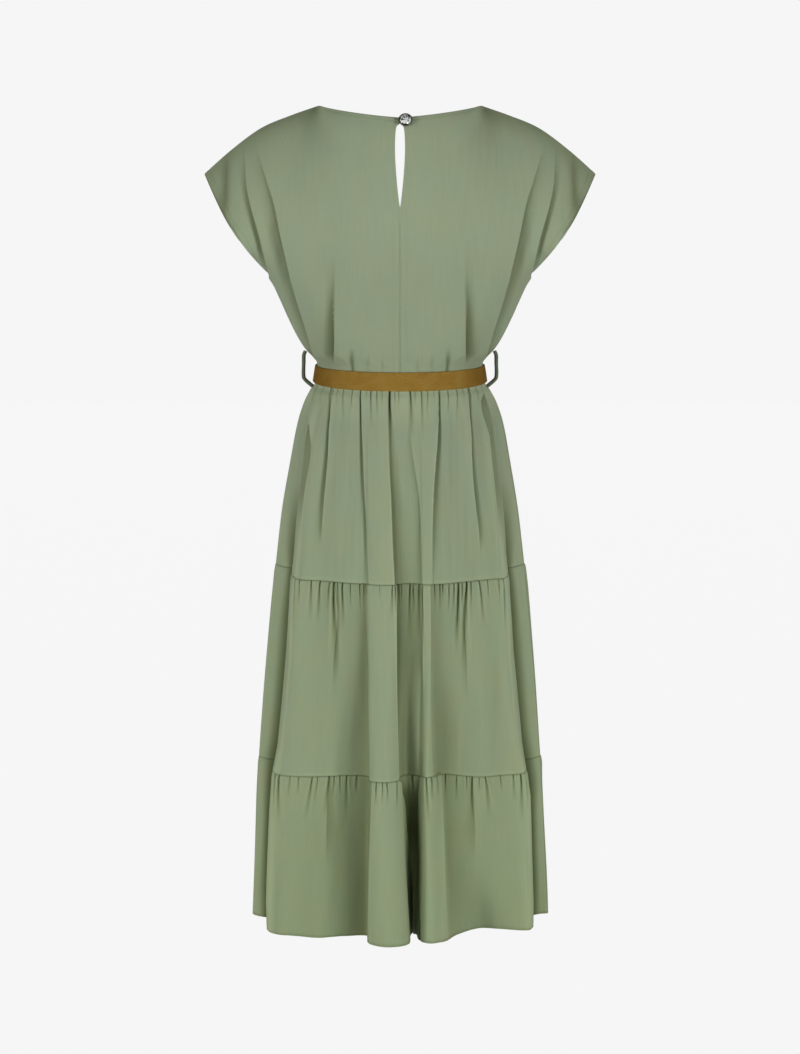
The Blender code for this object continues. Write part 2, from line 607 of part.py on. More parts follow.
def wall(name, outer_rows, inner_rows, places, kind):
    """A closed sheet from rows of outer and inner points; a row may have its own number of points."""
    points, outer, inner = [], [], []
    for rows, kept in ((outer_rows, outer), (inner_rows, inner)):
        for row in rows:
            kept.append(list(range(len(points), len(points) + len(row))))
            points.extend(row)
    faces = []
    for k in range(len(outer) - 1):
        faces += stitch(outer[k], outer[k + 1], places[k], places[k + 1])
        faces += [f[::-1] for f in stitch(inner[k], inner[k + 1], places[k], places[k + 1])]
        a, b, c, d = outer[k][0], outer[k + 1][0], inner[k + 1][0], inner[k][0]
        faces += [(a, b, c), (a, c, d)]
        a, b, c, d = outer[k + 1][-1], outer[k][-1], inner[k][-1], inner[k + 1][-1]
        faces += [(a, b, c), (a, c, d)]
    for i in range(len(outer[0]) - 1):
        a, b, c, d = outer[0][i + 1], outer[0][i], inner[0][i], inner[0][i + 1]
        faces += [(a, b, c), (a, c, d)]
    for i in range(len(outer[-1]) - 1):
        a, b, c, d = outer[-1][i], outer[-1][i + 1], inner[-1][i + 1], inner[-1][i]
        faces += [(a, b, c), (a, c, d)]
    return add_object(name, points, faces, kind)


def keep_side(points, axis, sign, half_gap):
    """Holds a panel on its own side of the plane where it meets its neighbour."""
    points = np.array(points)
    held = np.maximum(points[..., axis] * sign, half_gap) * sign
    points[..., axis] = held
    return points


UPPER_TIER_DROPS = (0.0, 14.0, 25.0, 44.0, 80.0, 125.0, 190.0)
LOWER_TIER_DROPS = (0.0, 6.0, 25.0, 60.0, 150.0)


def build_tier(tier):
    height = tier.top - tier.bottom
    planned = UPPER_TIER_DROPS if tier.top == WAIST_Z else LOWER_TIER_DROPS
    drops = [d for d in planned if d < height - 40] + [height]
    outer, inner, places = [], [], []
    for drop in drops:
        z = tier.top - drop
        if drop == 0.0:
            z -= GAP / 2
        if drop == height and tier.bottom > HEM_Z:
            z += GAP / 2
        u = tier.columns(drop)
        relief = tier.relief(u, tier.top - drop)
        sign = 1 if tier.front else -1
        outer.append(keep_side(SKIRT.points(u, z, relief), 1, sign, GAP / 2))
        inner.append(keep_side(SKIRT.points(u, z, relief - WALL), 1, sign, GAP / 2))
        places.append(u)
    wall(tier.name, outer, inner, places, "crepe")


def pleat_place(pleat, v, front):
    """u on the row v where a pleat's line crosses it, or None."""
    u = np.linspace(0, 1, 200)
    row = bodice_base(u, np.full_like(u, v), front)
    line = np.array(pleat.line, float)
    order = np.argsort(line[:, 1])
    z = np.clip(row[:, 2], line[:, 1].min(), line[:, 1].max())
    side = row[:, 0] - hermite(line[order, 1], line[order, 0], z)[:, 0]
    return float(u[np.argmin(np.abs(side))])


def bodice_columns(v, front):
    """A row's places: they follow the two pleats, so that each keeps its own step."""
    first, second = FRONT_PLEATS if front else BACK_PLEATS
    a = pleat_place(first, v, front) if v > CHEST_SHARE else 0.0
    b = pleat_place(second, v, front)
    a = max(a, 0.06)
    b = max(b, a + 0.12)
    marks = [0.0, a - 0.022, a + 0.014, b - 0.045, b + 0.02, 1.0]
    counts = (2, 1, 2, 1, 8)
    places = [0.0]
    for left, right, count in zip(marks, marks[1:], counts):
        places += [left + (right - left) * (k + 1) / count for k in range(count)]
    places = np.array(places)
    if v >= 0.3:
        fine = np.linspace(0.3, 1, 400)
        row_x = bodice_base(fine, np.full_like(fine, 1.0), front)[:, 0]
        corner = float(fine[np.argmin(np.abs(row_x + NECK_HALF))])
        k = int(np.argmin(np.abs(places[6:-1] - corner))) + 6
        share = smooth((v - 0.3) / 0.5)
        places[k] += (corner - places[k]) * share
    return places


# Rows up the panel as shares of its height; the keyhole's foot and widest place are among them.
BODICE_HEIGHTS = (0.0, 0.045, 0.075, 0.12, 0.2, 0.31, 0.42, 0.505, 0.59, 0.669, 0.73, 0.79, 0.85,
                  0.905, 0.95, 0.98, 1.0)


def mirrored(points):
    points = np.array(points)
    points[..., 0] *= -1
    return points


def build_bodice_back():
    us = np.array([bodice_columns(v, False) for v in BODICE_HEIGHTS])
    outer, inner = bodice_rows(us, BODICE_HEIGHTS, False)
    outer, inner = (keep_side(p, 1, -1, GAP / 2) for p in (outer, inner))
    for rows in (outer, inner):
        edge = keyhole_half(outer[:, -1, 2])
        push = np.maximum(edge, GAP / 2)[:, None]
        weight = np.linspace(0, 1, rows.shape[1])[None, :] ** KEYHOLE_HOLD
        rows[:, :, 0] -= push * weight
    wall("bodice_back_left", outer, inner, us, "crepe")
    wall("bodice_back_right", mirrored(outer), mirrored(inner), us, "crepe")


def build_bodice_front():
    us = np.array([bodice_columns(v, True) for v in BODICE_HEIGHTS])
    outer, inner = bodice_rows(us, BODICE_HEIGHTS, True)
    outer, inner = (keep_side(p, 1, 1, GAP / 2) for p in (outer, inner))
    full = []
    for rows in (outer, inner):
        rows[:, -1, 0] = 0.0
        full.append(np.concatenate([rows, mirrored(rows)[:, ::-1][:, 1:]], axis=1))
    places = np.concatenate([us, 2 - us[:, ::-1][:, 1:]], axis=1)
    wall("bodice_front", full[0], full[1], places, "crepe")


def sweep(name, path, ups, half_wide, half_thick, kind, sides=8, closed=False):
    """A strap or cord: a rounded section carried along a path of points in mm."""
    path = np.asarray(path, float)
    ups = np.asarray(ups, float)
    count = len(path)
    points, faces = [], []
    for k in range(count):
        before = path[k - 1] if (closed or k > 0) else path[k]
        after = path[(k + 1) % count] if (closed or k < count - 1) else path[k]
        along = (after - before) / np.linalg.norm(after - before)
        out = ups[k] - along * np.dot(ups[k], along)
        out /= np.linalg.norm(out)
        wide = np.cross(along, out)
        for s in range(sides):
            turn = 2 * math.pi * (s + 0.5) / sides
            points.append(path[k] + wide * half_wide * math.cos(turn) + out * half_thick * math.sin(turn))
    spans = count if closed else count - 1
    for k in range(spans):
        for s in range(sides):
            a = k * sides + s
            b = k * sides + (s + 1) % sides
            c = ((k + 1) % count) * sides + (s + 1) % sides
            d = ((k + 1) % count) * sides + s
            faces.append((a, b, c, d))
    if not closed:
        faces.append(tuple(range(sides))[::-1])
        faces.append(tuple(range((count - 1) * sides, count * sides)))
    return add_object(name, points, faces, kind)


# ---------------------------------------------------------------- belt and trim
def belt_point(angle, z, out):
    """A point of the belt's inner face moved out. angle 0 is the left side, pi/2 the centre back."""
    clear = BELT_CLEAR + BELT_FLARE * (WAIST_Z - z) + out
    wide = WAIST_HALF_WIDTH + clear
    back = math.sin(angle) >= 0
    deep = (WAIST_BACK if back else WAIST_FRONT) + clear
    x = -wide * math.cos(angle)
    y = -deep * math.sin(angle)
    return (x, y, z - y * BELT_RISE)


def build_band(name, start, stop, steps, low, high, inside, outside, closed):
    """A stretch of belting between two angles, from an inner to an outer face."""
    count = steps if closed else steps + 1
    angles = [start + (stop - start) * k / steps for k in range(count)]
    corners = ((low, inside), (low, outside), (high, outside), (high, inside))
    points = [belt_point(a, z, out) for a in angles for z, out in corners]
    faces = []
    for k in range(steps):
        for s in range(4):
            t = (s + 1) % 4
            n = (k + 1) % count
            faces.append((k * 4 + s, k * 4 + t, n * 4 + t, n * 4 + s))
    if not closed:
        faces.append((3, 2, 1, 0))
        last = steps * 4
        faces.append((last, last + 1, last + 2, last + 3))
    return add_object(name, points, faces, "belt_weave", crease_angle=40)


FRONT_CENTRE = 1.5 * math.pi
BUCKLE_HALF_WIDE = 17.0     # along the belt
BUCKLE_HALF_TALL = 19.0
BUCKLE_BAR = 1.6            # half the thickness of its wire
BUCKLE_STEPS = 24
BUCKLE_SQUARE = 0.45        # below 1 the frame's corners are squarer than an oval's
PRONG_R = 1.3
PRONG_STEPS = 6
BELT_STEPS = 68
BELT_END_START = 0.05
BELT_END_SPAN = 0.92        # the free end's run in radians
BELT_END_STEPS = 14
BELT_END_INSET = 0.8        # it is this much narrower than the belt at each edge
KEEPER_PLACE = 0.36         # the keeper's place along it
KEEPER_THICK = 1.6
KEEPER_CORNER = 1.0         # its two outer corners are cut off by this much
KEEPER_HALF_WIDE = 3.5
KEEPER_REST = 0.6           # its ends stop this far outside the belt's inner face


def build_belt():
    build_band("belt", 0, 2 * math.pi, BELT_STEPS, BELT_BOTTOM, BELT_TOP, 0, BELT_THICK, True)
    lift = BELT_THICK + GAP
    build_band("belt_end", FRONT_CENTRE + BELT_END_START, FRONT_CENTRE + BELT_END_SPAN, BELT_END_STEPS,
               BELT_BOTTOM + BELT_END_INSET, BELT_TOP - BELT_END_INSET, lift, lift + BELT_THICK, False)
    middle = (BELT_TOP + BELT_BOTTOM) / 2
    frame_path, ups = [], []
    out = lift + BELT_THICK + GAP + BUCKLE_BAR
    wide = WAIST_FRONT
    for k in range(BUCKLE_STEPS):
        turn = 2 * math.pi * k / BUCKLE_STEPS
        c, n = math.cos(turn), math.sin(turn)
        a = math.copysign(abs(c) ** BUCKLE_SQUARE, c) * BUCKLE_HALF_WIDE
        b = math.copysign(abs(n) ** BUCKLE_SQUARE, n) * BUCKLE_HALF_TALL
        frame_path.append(belt_point(FRONT_CENTRE + a / wide, middle + b, out))
        ups.append((0, 1, 0))
    sweep("belt_buckle_frame", frame_path, ups, BUCKLE_BAR, BUCKLE_BAR, "dark_metal", sides=6, closed=True)
    root = -BUCKLE_HALF_WIDE + 2 * BUCKLE_BAR + GAP
    run = 2 * (BUCKLE_HALF_WIDE - BUCKLE_BAR) + PRONG_R
    over_frame = 2 * BUCKLE_BAR + GAP
    path = []
    for k in range(PRONG_STEPS + 1):
        place = FRONT_CENTRE + (root + run * k / PRONG_STEPS) / wide
        path.append(belt_point(place, middle, out + over_frame * float(smooth(1.5 * k / PRONG_STEPS))))
    sweep("belt_buckle_prong", path, [(0, 1, 0)] * len(path), PRONG_R, PRONG_R, "dark_metal", sides=6)
    build_keeper(lift + BELT_THICK)


def build_keeper(face):
    """A narrow strap round the belt and its free end: an outline across the belt, given its width."""
    clear = 2 * GAP
    top, bottom, over = BELT_TOP + clear, BELT_BOTTOM - clear, face + clear
    far = over + KEEPER_THICK
    high, low = top + KEEPER_THICK, bottom - KEEPER_THICK
    cut = KEEPER_CORNER
    outline = [(high, KEEPER_REST), (high, far - cut), (high - cut, far), (low + cut, far), (low, far - cut),
               (low, KEEPER_REST), (bottom, KEEPER_REST), (bottom, over), (top, over), (top, KEEPER_REST)]
    place = FRONT_CENTRE + KEEPER_PLACE
    along = np.subtract(belt_point(place + 0.01, top, over), belt_point(place - 0.01, top, over))
    along *= KEEPER_HALF_WIDE / np.linalg.norm(along)
    middle = [np.array(belt_point(place, z, out)) for z, out in outline]
    points = [p + along for p in middle] + [p - along for p in middle]
    count = len(outline)
    faces = [tuple(range(count)), tuple(range(2 * count - 1, count - 1, -1))]
    for k in range(count):
        after = (k + 1) % count
        faces.append((k, k + count, after + count, after))
    add_object("belt_keeper", points, faces, "belt_weave")


def build_belt_loop(name, sign):
    """A narrow cloth tube standing off the side of the belt, its ends on the cloth above and below."""
    path = [(sign * x, 0.0, z) for z, x in BELT_LOOP]
    fine = hermite(np.arange(len(path)), path, np.linspace(0, len(path) - 1, LOOP_STEPS))
    ahead = np.gradient(fine, axis=0)
    ups = np.stack([-sign * ahead[:, 2], np.zeros(len(fine)), sign * ahead[:, 0]], axis=1)
    sweep(name, fine, ups, LOOP_HALF_WIDE, LOOP_HALF_THICK, "crepe", sides=8)


LOOP_STEPS = 15
LOOP_HALF_WIDE = 3.0
LOOP_HALF_THICK = 2.0
# Height and distance from the centre line, from the upper end to the lower.
BELT_LOOP = ((-310.0, 132.6), (-316.0, 134.6), (-326.0, 134.4), (-346.0, 134.4), (-354.0, 131.6),
             (-363.2, 121.4))


def turned(name, profile, centre, axis_tilt, kind, sides, phase=0.0):
    """A small turned or faceted body: rings of (radius, height) along an axis facing the back."""
    points, faces = [], []
    ring_count = len(profile)
    tilt = math.radians(axis_tilt)
    for radius, height in profile:
        for s in range(sides):
            turn = 2 * math.pi * (s + phase) / sides
            x = radius * math.cos(turn)
            q = radius * math.sin(turn)
            y = -height * math.cos(tilt) + q * math.sin(tilt)
            z = q * math.cos(tilt) + height * math.sin(tilt)
            points.append((centre[0] + x, centre[1] + y, centre[2] + z))
    for k in range(ring_count - 1):
        for s in range(sides):
            t = (s + 1) % sides
            faces.append((k * sides + s, k * sides + t, (k + 1) * sides + t, (k + 1) * sides + s))
    faces.append(tuple(range(sides))[::-1])
    last = (ring_count - 1) * sides
    faces.append(tuple(range(last, last + sides)))
    return add_object(name, points, faces, kind, crease_angle=25)


BUTTON_X = 8.4            # the foot of its shank, just off the right half's neck corner
BUTTON_Z = 13.2
BUTTON_Y = -66.9
BUTTON_TILT = 33.8        # the cloth leans this much there
RIM_R = 9.6
CRYSTAL_R = 7.2
RIM_SIDES = 20
CRYSTAL_SIDES = 12
SHANK_R = 3.0
LOOP_R = 1.0
LOOP_TURN = 115           # degrees of the cord loop either side of the far side of the shank
LOOP_TURN_STEP = 23
LOOP_END_X = -5.5         # its ends lie on the left half's corner,
LOOP_END_SPACE = 3.2      # this far either side of the middle


def build_button():
    centre = (BUTTON_X, BUTTON_Y, BUTTON_Z)
    base = LOOP_R * 2 + 2 * GAP
    rim = [(SHANK_R, 0.0), (SHANK_R, base), (RIM_R - 1.2, base), (RIM_R, base + 1.0), (RIM_R, base + 2.2),
           (RIM_R - 0.9, base + 3.1), (CRYSTAL_R + 0.4, base + 2.9), (CRYSTAL_R - 0.9, base + 1.0)]
    turned("button_rim", rim, centre, BUTTON_TILT, "dark_metal", RIM_SIDES)
    seat = base + 1.0 + GAP
    crystal = [(CRYSTAL_R - 1.5, seat), (CRYSTAL_R, seat + 2.3), (CRYSTAL_R * 0.78, seat + 3.6),
               (CRYSTAL_R * 0.42, seat + 4.3)]
    turned("button_crystal", crystal, centre, BUTTON_TILT, "crystal", CRYSTAL_SIDES, 0.5)
    tilt = math.radians(BUTTON_TILT)
    round_r = SHANK_R + LOOP_R + GAP
    spots = [(LOOP_END_X - BUTTON_X, LOOP_END_SPACE)]
    for degrees in range(LOOP_TURN, -LOOP_TURN - 1, -LOOP_TURN_STEP):
        turn = math.radians(degrees)
        spots.append((round_r * math.cos(turn), round_r * math.sin(turn)))
    spots.append((LOOP_END_X - BUTTON_X, -LOOP_END_SPACE))
    path = [
        (
            centre[0] + across,
            centre[1] - LOOP_R * math.cos(tilt) + up * math.sin(tilt),
            centre[2] + LOOP_R * math.sin(tilt) + up * math.cos(tilt),
        )
        for across, up in spots
    ]
    sweep("button_loop", path, [(0, -1, 0.3)] * len(path), LOOP_R, LOOP_R, "crepe", sides=6)


def main():
    clear_scene()
    build_bodice_back()
    build_bodice_front()
    tiers = (
        Tier("tier1_back", WAIST_Z, SEAM1_Z, False, WAIST_BACK_GATHERS, WAIST_FILL, 11, 0.0),
        Tier("tier1_front", WAIST_Z, SEAM1_Z, True, WAIST_FRONT_GATHERS, WAIST_FILL, 12, 0.0),
        Tier("tier2_back", SEAM1_Z, SEAM2_Z, False, SEAM1_BACK_GATHERS, SEAM1_FILL, 21, PUFF),
        Tier("tier2_front", SEAM1_Z, SEAM2_Z, True, SEAM1_FRONT_GATHERS, SEAM1_FILL, 22, PUFF),
        Tier("tier3_back", SEAM2_Z, HEM_Z, False, SEAM2_BACK_GATHERS, SEAM2_FILL, 31, PUFF),
        Tier("tier3_front", SEAM2_Z, HEM_Z, True, SEAM2_FRONT_GATHERS, SEAM2_FILL, 32, PUFF),
    )
    for tier in tiers:
        build_tier(tier)
    build_belt()
    build_belt_loop("belt_loop_left", -1)
    build_belt_loop("belt_loop_right", 1)
    build_button()


main()
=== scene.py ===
"""Looks of the tiered A-line dress: fine cloth, sewing, belt, button, floor, light and camera.

Frame: metres, +Z up, +X is the wearer's right side, the back faces -Y. Lengths in the tables and in the
form functions are millimetres, and MM turns them into metres.
"""

import math
import random
from collections import namedtuple

import bpy
import mathutils
import numpy as np
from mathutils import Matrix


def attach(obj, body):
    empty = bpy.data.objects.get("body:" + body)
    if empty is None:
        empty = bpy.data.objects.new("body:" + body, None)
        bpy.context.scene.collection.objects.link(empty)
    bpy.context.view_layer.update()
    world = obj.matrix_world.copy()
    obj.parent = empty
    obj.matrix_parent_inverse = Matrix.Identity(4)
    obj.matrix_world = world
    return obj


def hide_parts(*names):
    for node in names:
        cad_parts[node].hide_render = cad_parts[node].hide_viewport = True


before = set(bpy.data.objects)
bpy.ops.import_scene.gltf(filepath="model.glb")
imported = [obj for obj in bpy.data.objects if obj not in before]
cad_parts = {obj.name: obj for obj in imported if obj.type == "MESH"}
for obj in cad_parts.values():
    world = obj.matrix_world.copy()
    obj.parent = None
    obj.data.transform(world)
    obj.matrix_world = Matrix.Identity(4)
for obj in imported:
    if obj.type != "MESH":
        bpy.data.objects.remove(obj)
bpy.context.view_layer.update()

MM = 0.001


def rows_of(kind, rows):
    """A table whose rows have named columns."""
    return [kind(*row) for row in rows]


# ---------------------------------------------------------------- driving dimensions (mm)
NECK_Z = 30.0
WAIST_Z = -344.0
SEAM1_Z = -612.0
SEAM2_Z = -890.0
HEM_Z = -1123.0
WAIST_HALF_WIDTH = 116.5
WAIST_BACK = 88.0
WAIST_FRONT = 93.0
BELT_TOP = -330.0
BELT_BOTTOM = -357.0
BELT_THICK = 2.2
BELT_CLEAR = 0.9          # between the belt and the waist
BELT_FLARE = 0.14         # how much further out the belt stands for each mm down
BELT_RISE = 0.045         # how much higher the waist runs for each mm towards the back
BELT_SIDE_LIFT = 1.2      # how much higher the belt's upper edge lies at the sides,
BELT_SIDE_NARROW = 3.4    # and its lower edge more than that
BELT_SLACK = 1.3          # how much the band is narrower than its place
WAIST_LIFT_REACH = 110.0  # how far from the waist the cloth rises with it
GAP = 0.3                 # between pieces that are sewn together
CLOTH = 0.9               # thickness of the shown cloth

# ---------------------------------------------------------------- large folds of the skirt (mm)
# How much of its way out to the first seam the cloth has gone at each height of the upper tier.
Flare = namedtuple("Flare", "z share")
FLARES = rows_of(Flare, [
    (SEAM1_Z, 1.0),
    (-540, 0.85),
    (-469, 0.64),
    (-415, 0.455),
    (-384, 0.28),
    (-366, 0.125),
    (-358, 0.04),
    (WAIST_Z, 0.0),
])
# Where each large fold runs in plan: its x at the waist, then x and y at both seams and at the hem.
Fold = namedtuple("Fold", "name waist_x seam1_x seam1_y seam2_x seam2_y hem_x hem_y")
BACK_FOLDS = rows_of(Fold, [
    ("left_side", -116.5, -174.6, 0, -200, 0, -211, 0),
    ("left_tube", -115.5, -165, -17, -190, -14, -203, -13),
    ("left_groove", -112.5, -149, -34, -169, -28, -177, -28),
    ("left_edge", -107, -151.5, -88, -176.5, -90, -188.5, -82),
    ("left_turn", -98, -145, -102, -170, -103, -182, -94),
    ("left_panel", -81, -108, -115, -127, -116, -146, -109),
    ("left_swell", -67, -83, -127, -98, -113, -112, -117),
    ("left_dip", -58, -62, -133, -71, -108, -77, -109),
    ("left_valley", -50, -47, -135, -45, -114, -46, -110),
    ("tube_left", -43, -41, -139, -42, -138, -46, -138),
    ("tube_crest", -30, -24, -144, -24, -146, -22, -160),
    ("tube_right", -15, -8, -141, -5, -139, 8.6, -151),
    ("tube_lip", -9, -1, -139, 0, -131, 14.6, -141),
    ("recess_left", -3, 6, -136, 1.5, -118, 16.0, -108),
    ("recess_floor", 12, 18, -134, 9.5, -105, 21, -92),
    ("recess_right", 22, 28, -137, 23.5, -109.5, 27, -99),
    ("recess_lip", 28, 33, -140, 29.5, -112, 26.5, -127),
    ("right_ridge", 36, 41, -141, 37, -119, 37, -141),
    ("right_swell", 50, 60, -136, 58, -104, 60, -136),
    ("right_slope", 65, 84, -125, 84, -109, 85, -98),
    ("right_dip", 79, 108, -113, 113, -117, 113, -72),
    ("right_panel", 93, 130, -103, 142, -107, 147, -77),
    ("right_turn", 101, 145.5, -99, 171, -99, 184, -81),
    ("right_edge", 109, 151.5, -86, 177, -87, 190, -69),
    ("right_groove", 112.5, 149, -32, 170, -28, 179, -18),
    ("right_tube", 115.5, 165, -15, 190, -12, 203, -3),
    ("right_side", 116.5, 174, 0, 198.6, 0, 211, 0),
])
FRONT_FOLDS = rows_of(Fold, [
    ("front_right_tube", 114, 164, 28, 190, 26, 203, 24),
    ("front_right_groove", 108, 146, 48, 168, 40, 178, 38),
    ("front_right_edge", 99, 138, 82, 166, 78, 181, 78),
    ("front_right_panel", 84, 112, 110, 140, 114, 158, 116),
    ("front_right_swell", 68, 86, 126, 108, 128, 122, 132),
    ("front_right_dip", 52, 62, 132, 78, 118, 90, 112),
    ("front_right_valley", 40, 44, 133, 52, 104, 60, 92),
    ("front_tube_right", 28, 30, 140, 38, 134, 46, 132),
    ("front_tube_crest", 12, 12, 146, 16, 150, 20, 160),
    ("front_tube_left", -4, -8, 144, -10, 140, -8, 146),
    ("front_recess", -18, -24, 135, -26, 98, -26, 90),
    ("front_ridge", -34, -44, 138, -46, 130, -48, 136),
    ("front_left_swell", -50, -64, 133, -72, 130, -76, 138),
    ("front_left_dip", -64, -84, 122, -98, 110, -106, 100),
    ("front_left_panel", -84, -110, 110, -128, 114, -140, 108),
    ("front_left_turn", -96, -132, 92, -154, 98, -167, 100),
    ("front_left_edge", -104, -144, 70, -170, 68, -184, 66),
    ("front_left_groove", -110, -150, 40, -172, 34, -182, 32),
    ("front_left_tube", -114.5, -165, 20, -190, 18, -203, 18),
])

# Gathers: x along the seam, depth, length, lean (how far it wanders on its way down), half width.
Gather = namedtuple("Gather", "x depth length lean width")
WAIST_BACK_GATHERS = rows_of(Gather, [
    (-112, 2.2, 44, -9, 2.0), (-104, 1.6, 36, -5, 1.7), (-93.5, 3.4, 60, -3.6, 2.2),
    (-84, 1.6, 34, -2, 1.7), (-77, 2.2, 52, -1, 1.8), (-65, 2.4, 44, -1, 1.7), (-54, 2.8, 64, 1, 2.0),
    (-46, 1.4, 28, 0, 1.5), (-39.5, 2.4, 60, 0, 1.7), (-31, 2.2, 46, 0, 1.6), (-24.5, 1.8, 34, 0, 1.5),
    (-14, 4.2, 60, -1, 2.2), (-7, 1.8, 44, 0, 1.5), (-2, 1.6, 36, 1, 1.5), (13.8, 3.4, 78, 2, 2.0),
    (21, 1.6, 34, 0, 1.5), (29.5, 2.2, 70, 1, 1.7), (37.6, 2.0, 44, 0, 1.6), (46, 1.4, 30, 0, 1.5),
    (53.5, 2.8, 60, -1.6, 2.0), (65.4, 2.4, 46, 0, 1.7), (77, 2.2, 56, 1, 1.8), (85, 1.5, 34, 2, 1.6),
    (93.5, 3.4, 60, 3.6, 2.2), (103, 1.6, 38, 5, 1.7), (111, 2.2, 44, 9, 2.0),
])
SEAM1_BACK_GATHERS = rows_of(Gather, [
    (-147, 2.8, 66, -4, 2.0), (-139, 1.6, 30, -2, 1.8), (-121.6, 2.2, 48, -3, 2.0),
    (-109.3, 2.4, 50, -4, 2.2), (-97, 1.8, 34, -2, 1.8), (-91.5, 3.6, 118, 3, 2.3),
    (-86, 1.8, 36, 2, 1.6), (-79.2, 3.0, 56, 1, 2.0), (-68.3, 2.0, 30, 0, 1.7), (-54.6, 2.2, 34, 0, 1.8),
    (-49.2, 1.8, 26, 0, 1.5), (-45, 1.6, 22, 0, 1.5), (-28, 1.2, 18, 0, 1.6), (-10.9, 2.2, 40, 0, 1.7),
    (-6.8, 1.8, 34, 0, 1.5), (-1.4, 2.0, 30, 0, 1.5), (2.7, 1.6, 26, 0, 1.4), (13.7, 2.6, 76, 0, 1.8),
    (17.8, 2.0, 50, 0, 1.5), (25.9, 2.4, 70, 0, 1.8), (31.4, 2.6, 90, 0, 1.8), (47.8, 2.0, 30, 0, 1.8),
    (55.3, 2.4, 34, 0, 1.8), (58.7, 1.8, 26, 0, 1.5), (66.9, 2.2, 34, 0, 1.8), (73.8, 2.2, 36, -1, 1.7),
    (80.6, 3.0, 90, -2, 2.0), (84.7, 1.8, 30, 0, 1.5), (91.5, 3.6, 104, -4, 2.3), (97, 1.8, 34, 1, 1.6),
    (108, 2.6, 54, 9, 2.0), (120, 1.8, 26, 2, 1.8), (136.5, 1.6, 30, 2, 1.8), (145, 2.8, 66, 3, 2.0),
])
SEAM2_BACK_GATHERS = rows_of(Gather, [
    (-173.5, 2.2, 50, -2, 1.8), (-167.5, 3.0, 54, -3, 2.1), (-153, 1.4, 24, -3, 1.8),
    (-140, 1.5, 20, -2, 1.8), (-121, 2.2, 48, -12, 2.2), (-114.4, 1.8, 26, -4, 1.7),
    (-98.3, 2.7, 44, -6, 2.2), (-91, 1.8, 24, -3, 1.7), (-83.6, 1.8, 22, 0, 1.7), (-74, 2.1, 44, 1, 1.9),
    (-60, 1.6, 20, 0, 1.8), (-42.6, 3.2, 34, -2, 1.5), (-33, 2.4, 26, -1, 1.7), (-24, 2.0, 24, 0, 1.6),
    (-17.8, 2.0, 24, 1, 1.6), (-5.4, 2.6, 30, 1, 1.6), (17, 1.6, 30, 0, 1.8), (36.6, 3.0, 50, 3, 1.9),
    (44, 2.0, 26, 1, 1.8), (51, 1.8, 22, 1, 1.6), (63, 2.0, 26, 0, 1.8), (78, 2.0, 28, 0, 1.9),
    (92, 1.8, 22, 1, 1.8), (99.8, 2.7, 48, 2, 2.2), (110, 1.4, 18, 0, 1.7), (118.6, 2.2, 46, 7, 2.2),
    (140, 1.6, 20, 2, 1.8), (157, 1.6, 30, 3, 1.9), (169, 3.0, 52, 2, 2.1), (175, 2.0, 40, 2, 1.8),
])
WAIST_FRONT_GATHERS = rows_of(Gather, [
    (96, 4.0, 180, 8, 2.4), (86, 1.6, 36, 0, 1.8), (74, 2.6, 60, 3, 2.0), (58, 3.2, 150, 6, 2.2),
    (49, 1.6, 34, 0, 1.7), (41, 2.4, 60, 0, 1.9), (31, 1.8, 34, 0, 1.7), (22, 4.2, 220, 6, 2.4),
    (13, 1.6, 30, 0, 1.6), (5, 2.4, 54, 0, 1.9), (-4, 1.7, 34, 0, 1.7), (-13, 3.8, 210, -5, 2.3),
    (-22, 1.8, 38, 0, 1.7), (-31, 2.4, 70, -2, 1.9), (-41, 1.6, 34, 0, 1.7), (-52, 3.4, 180, -7, 2.2),
    (-61, 1.6, 30, 0, 1.7), (-70, 2.4, 50, -2, 1.9), (-81, 1.6, 34, 0, 1.8), (-92, 4.2, 180, -9, 2.4),
    (-105, 2.0, 50, -3, 2.0),
])
SEAM1_FRONT_GATHERS = rows_of(Gather, [
    (134, 1.7, 26, 2, 1.8), (120, 2.4, 34, 3, 2.0), (110, 1.7, 26, 0, 1.8), (101, 3.4, 105, 3, 2.3),
    (89, 1.8, 30, 0, 1.8), (78, 2.6, 46, 0, 2.0), (70, 1.8, 26, 0, 1.7), (61, 2.0, 32, 0, 1.8),
    (52, 3.2, 90, 0, 2.2), (38, 1.8, 28, 0, 1.7), (27, 2.4, 36, 0, 1.9), (15, 1.6, 22, 0, 1.7),
    (5, 1.8, 30, 0, 1.7), (-4, 2.6, 50, 0, 1.9), (-13, 1.8, 28, 0, 1.7), (-22, 3.4, 110, 0, 2.2),
    (-32, 1.8, 26, 0, 1.7), (-43, 2.0, 34, 0, 1.8), (-55, 2.4, 34, 0, 1.9), (-66, 1.7, 26, 0, 1.7),
    (-77, 3.2, 84, -2, 2.2), (-89, 1.7, 28, 0, 1.7), (-104, 2.8, 54, -5, 2.0), (-116, 1.7, 24, 0, 1.8),
    (-127, 2.2, 30, -3, 1.9), (-139, 1.6, 24, -2, 1.8),
])
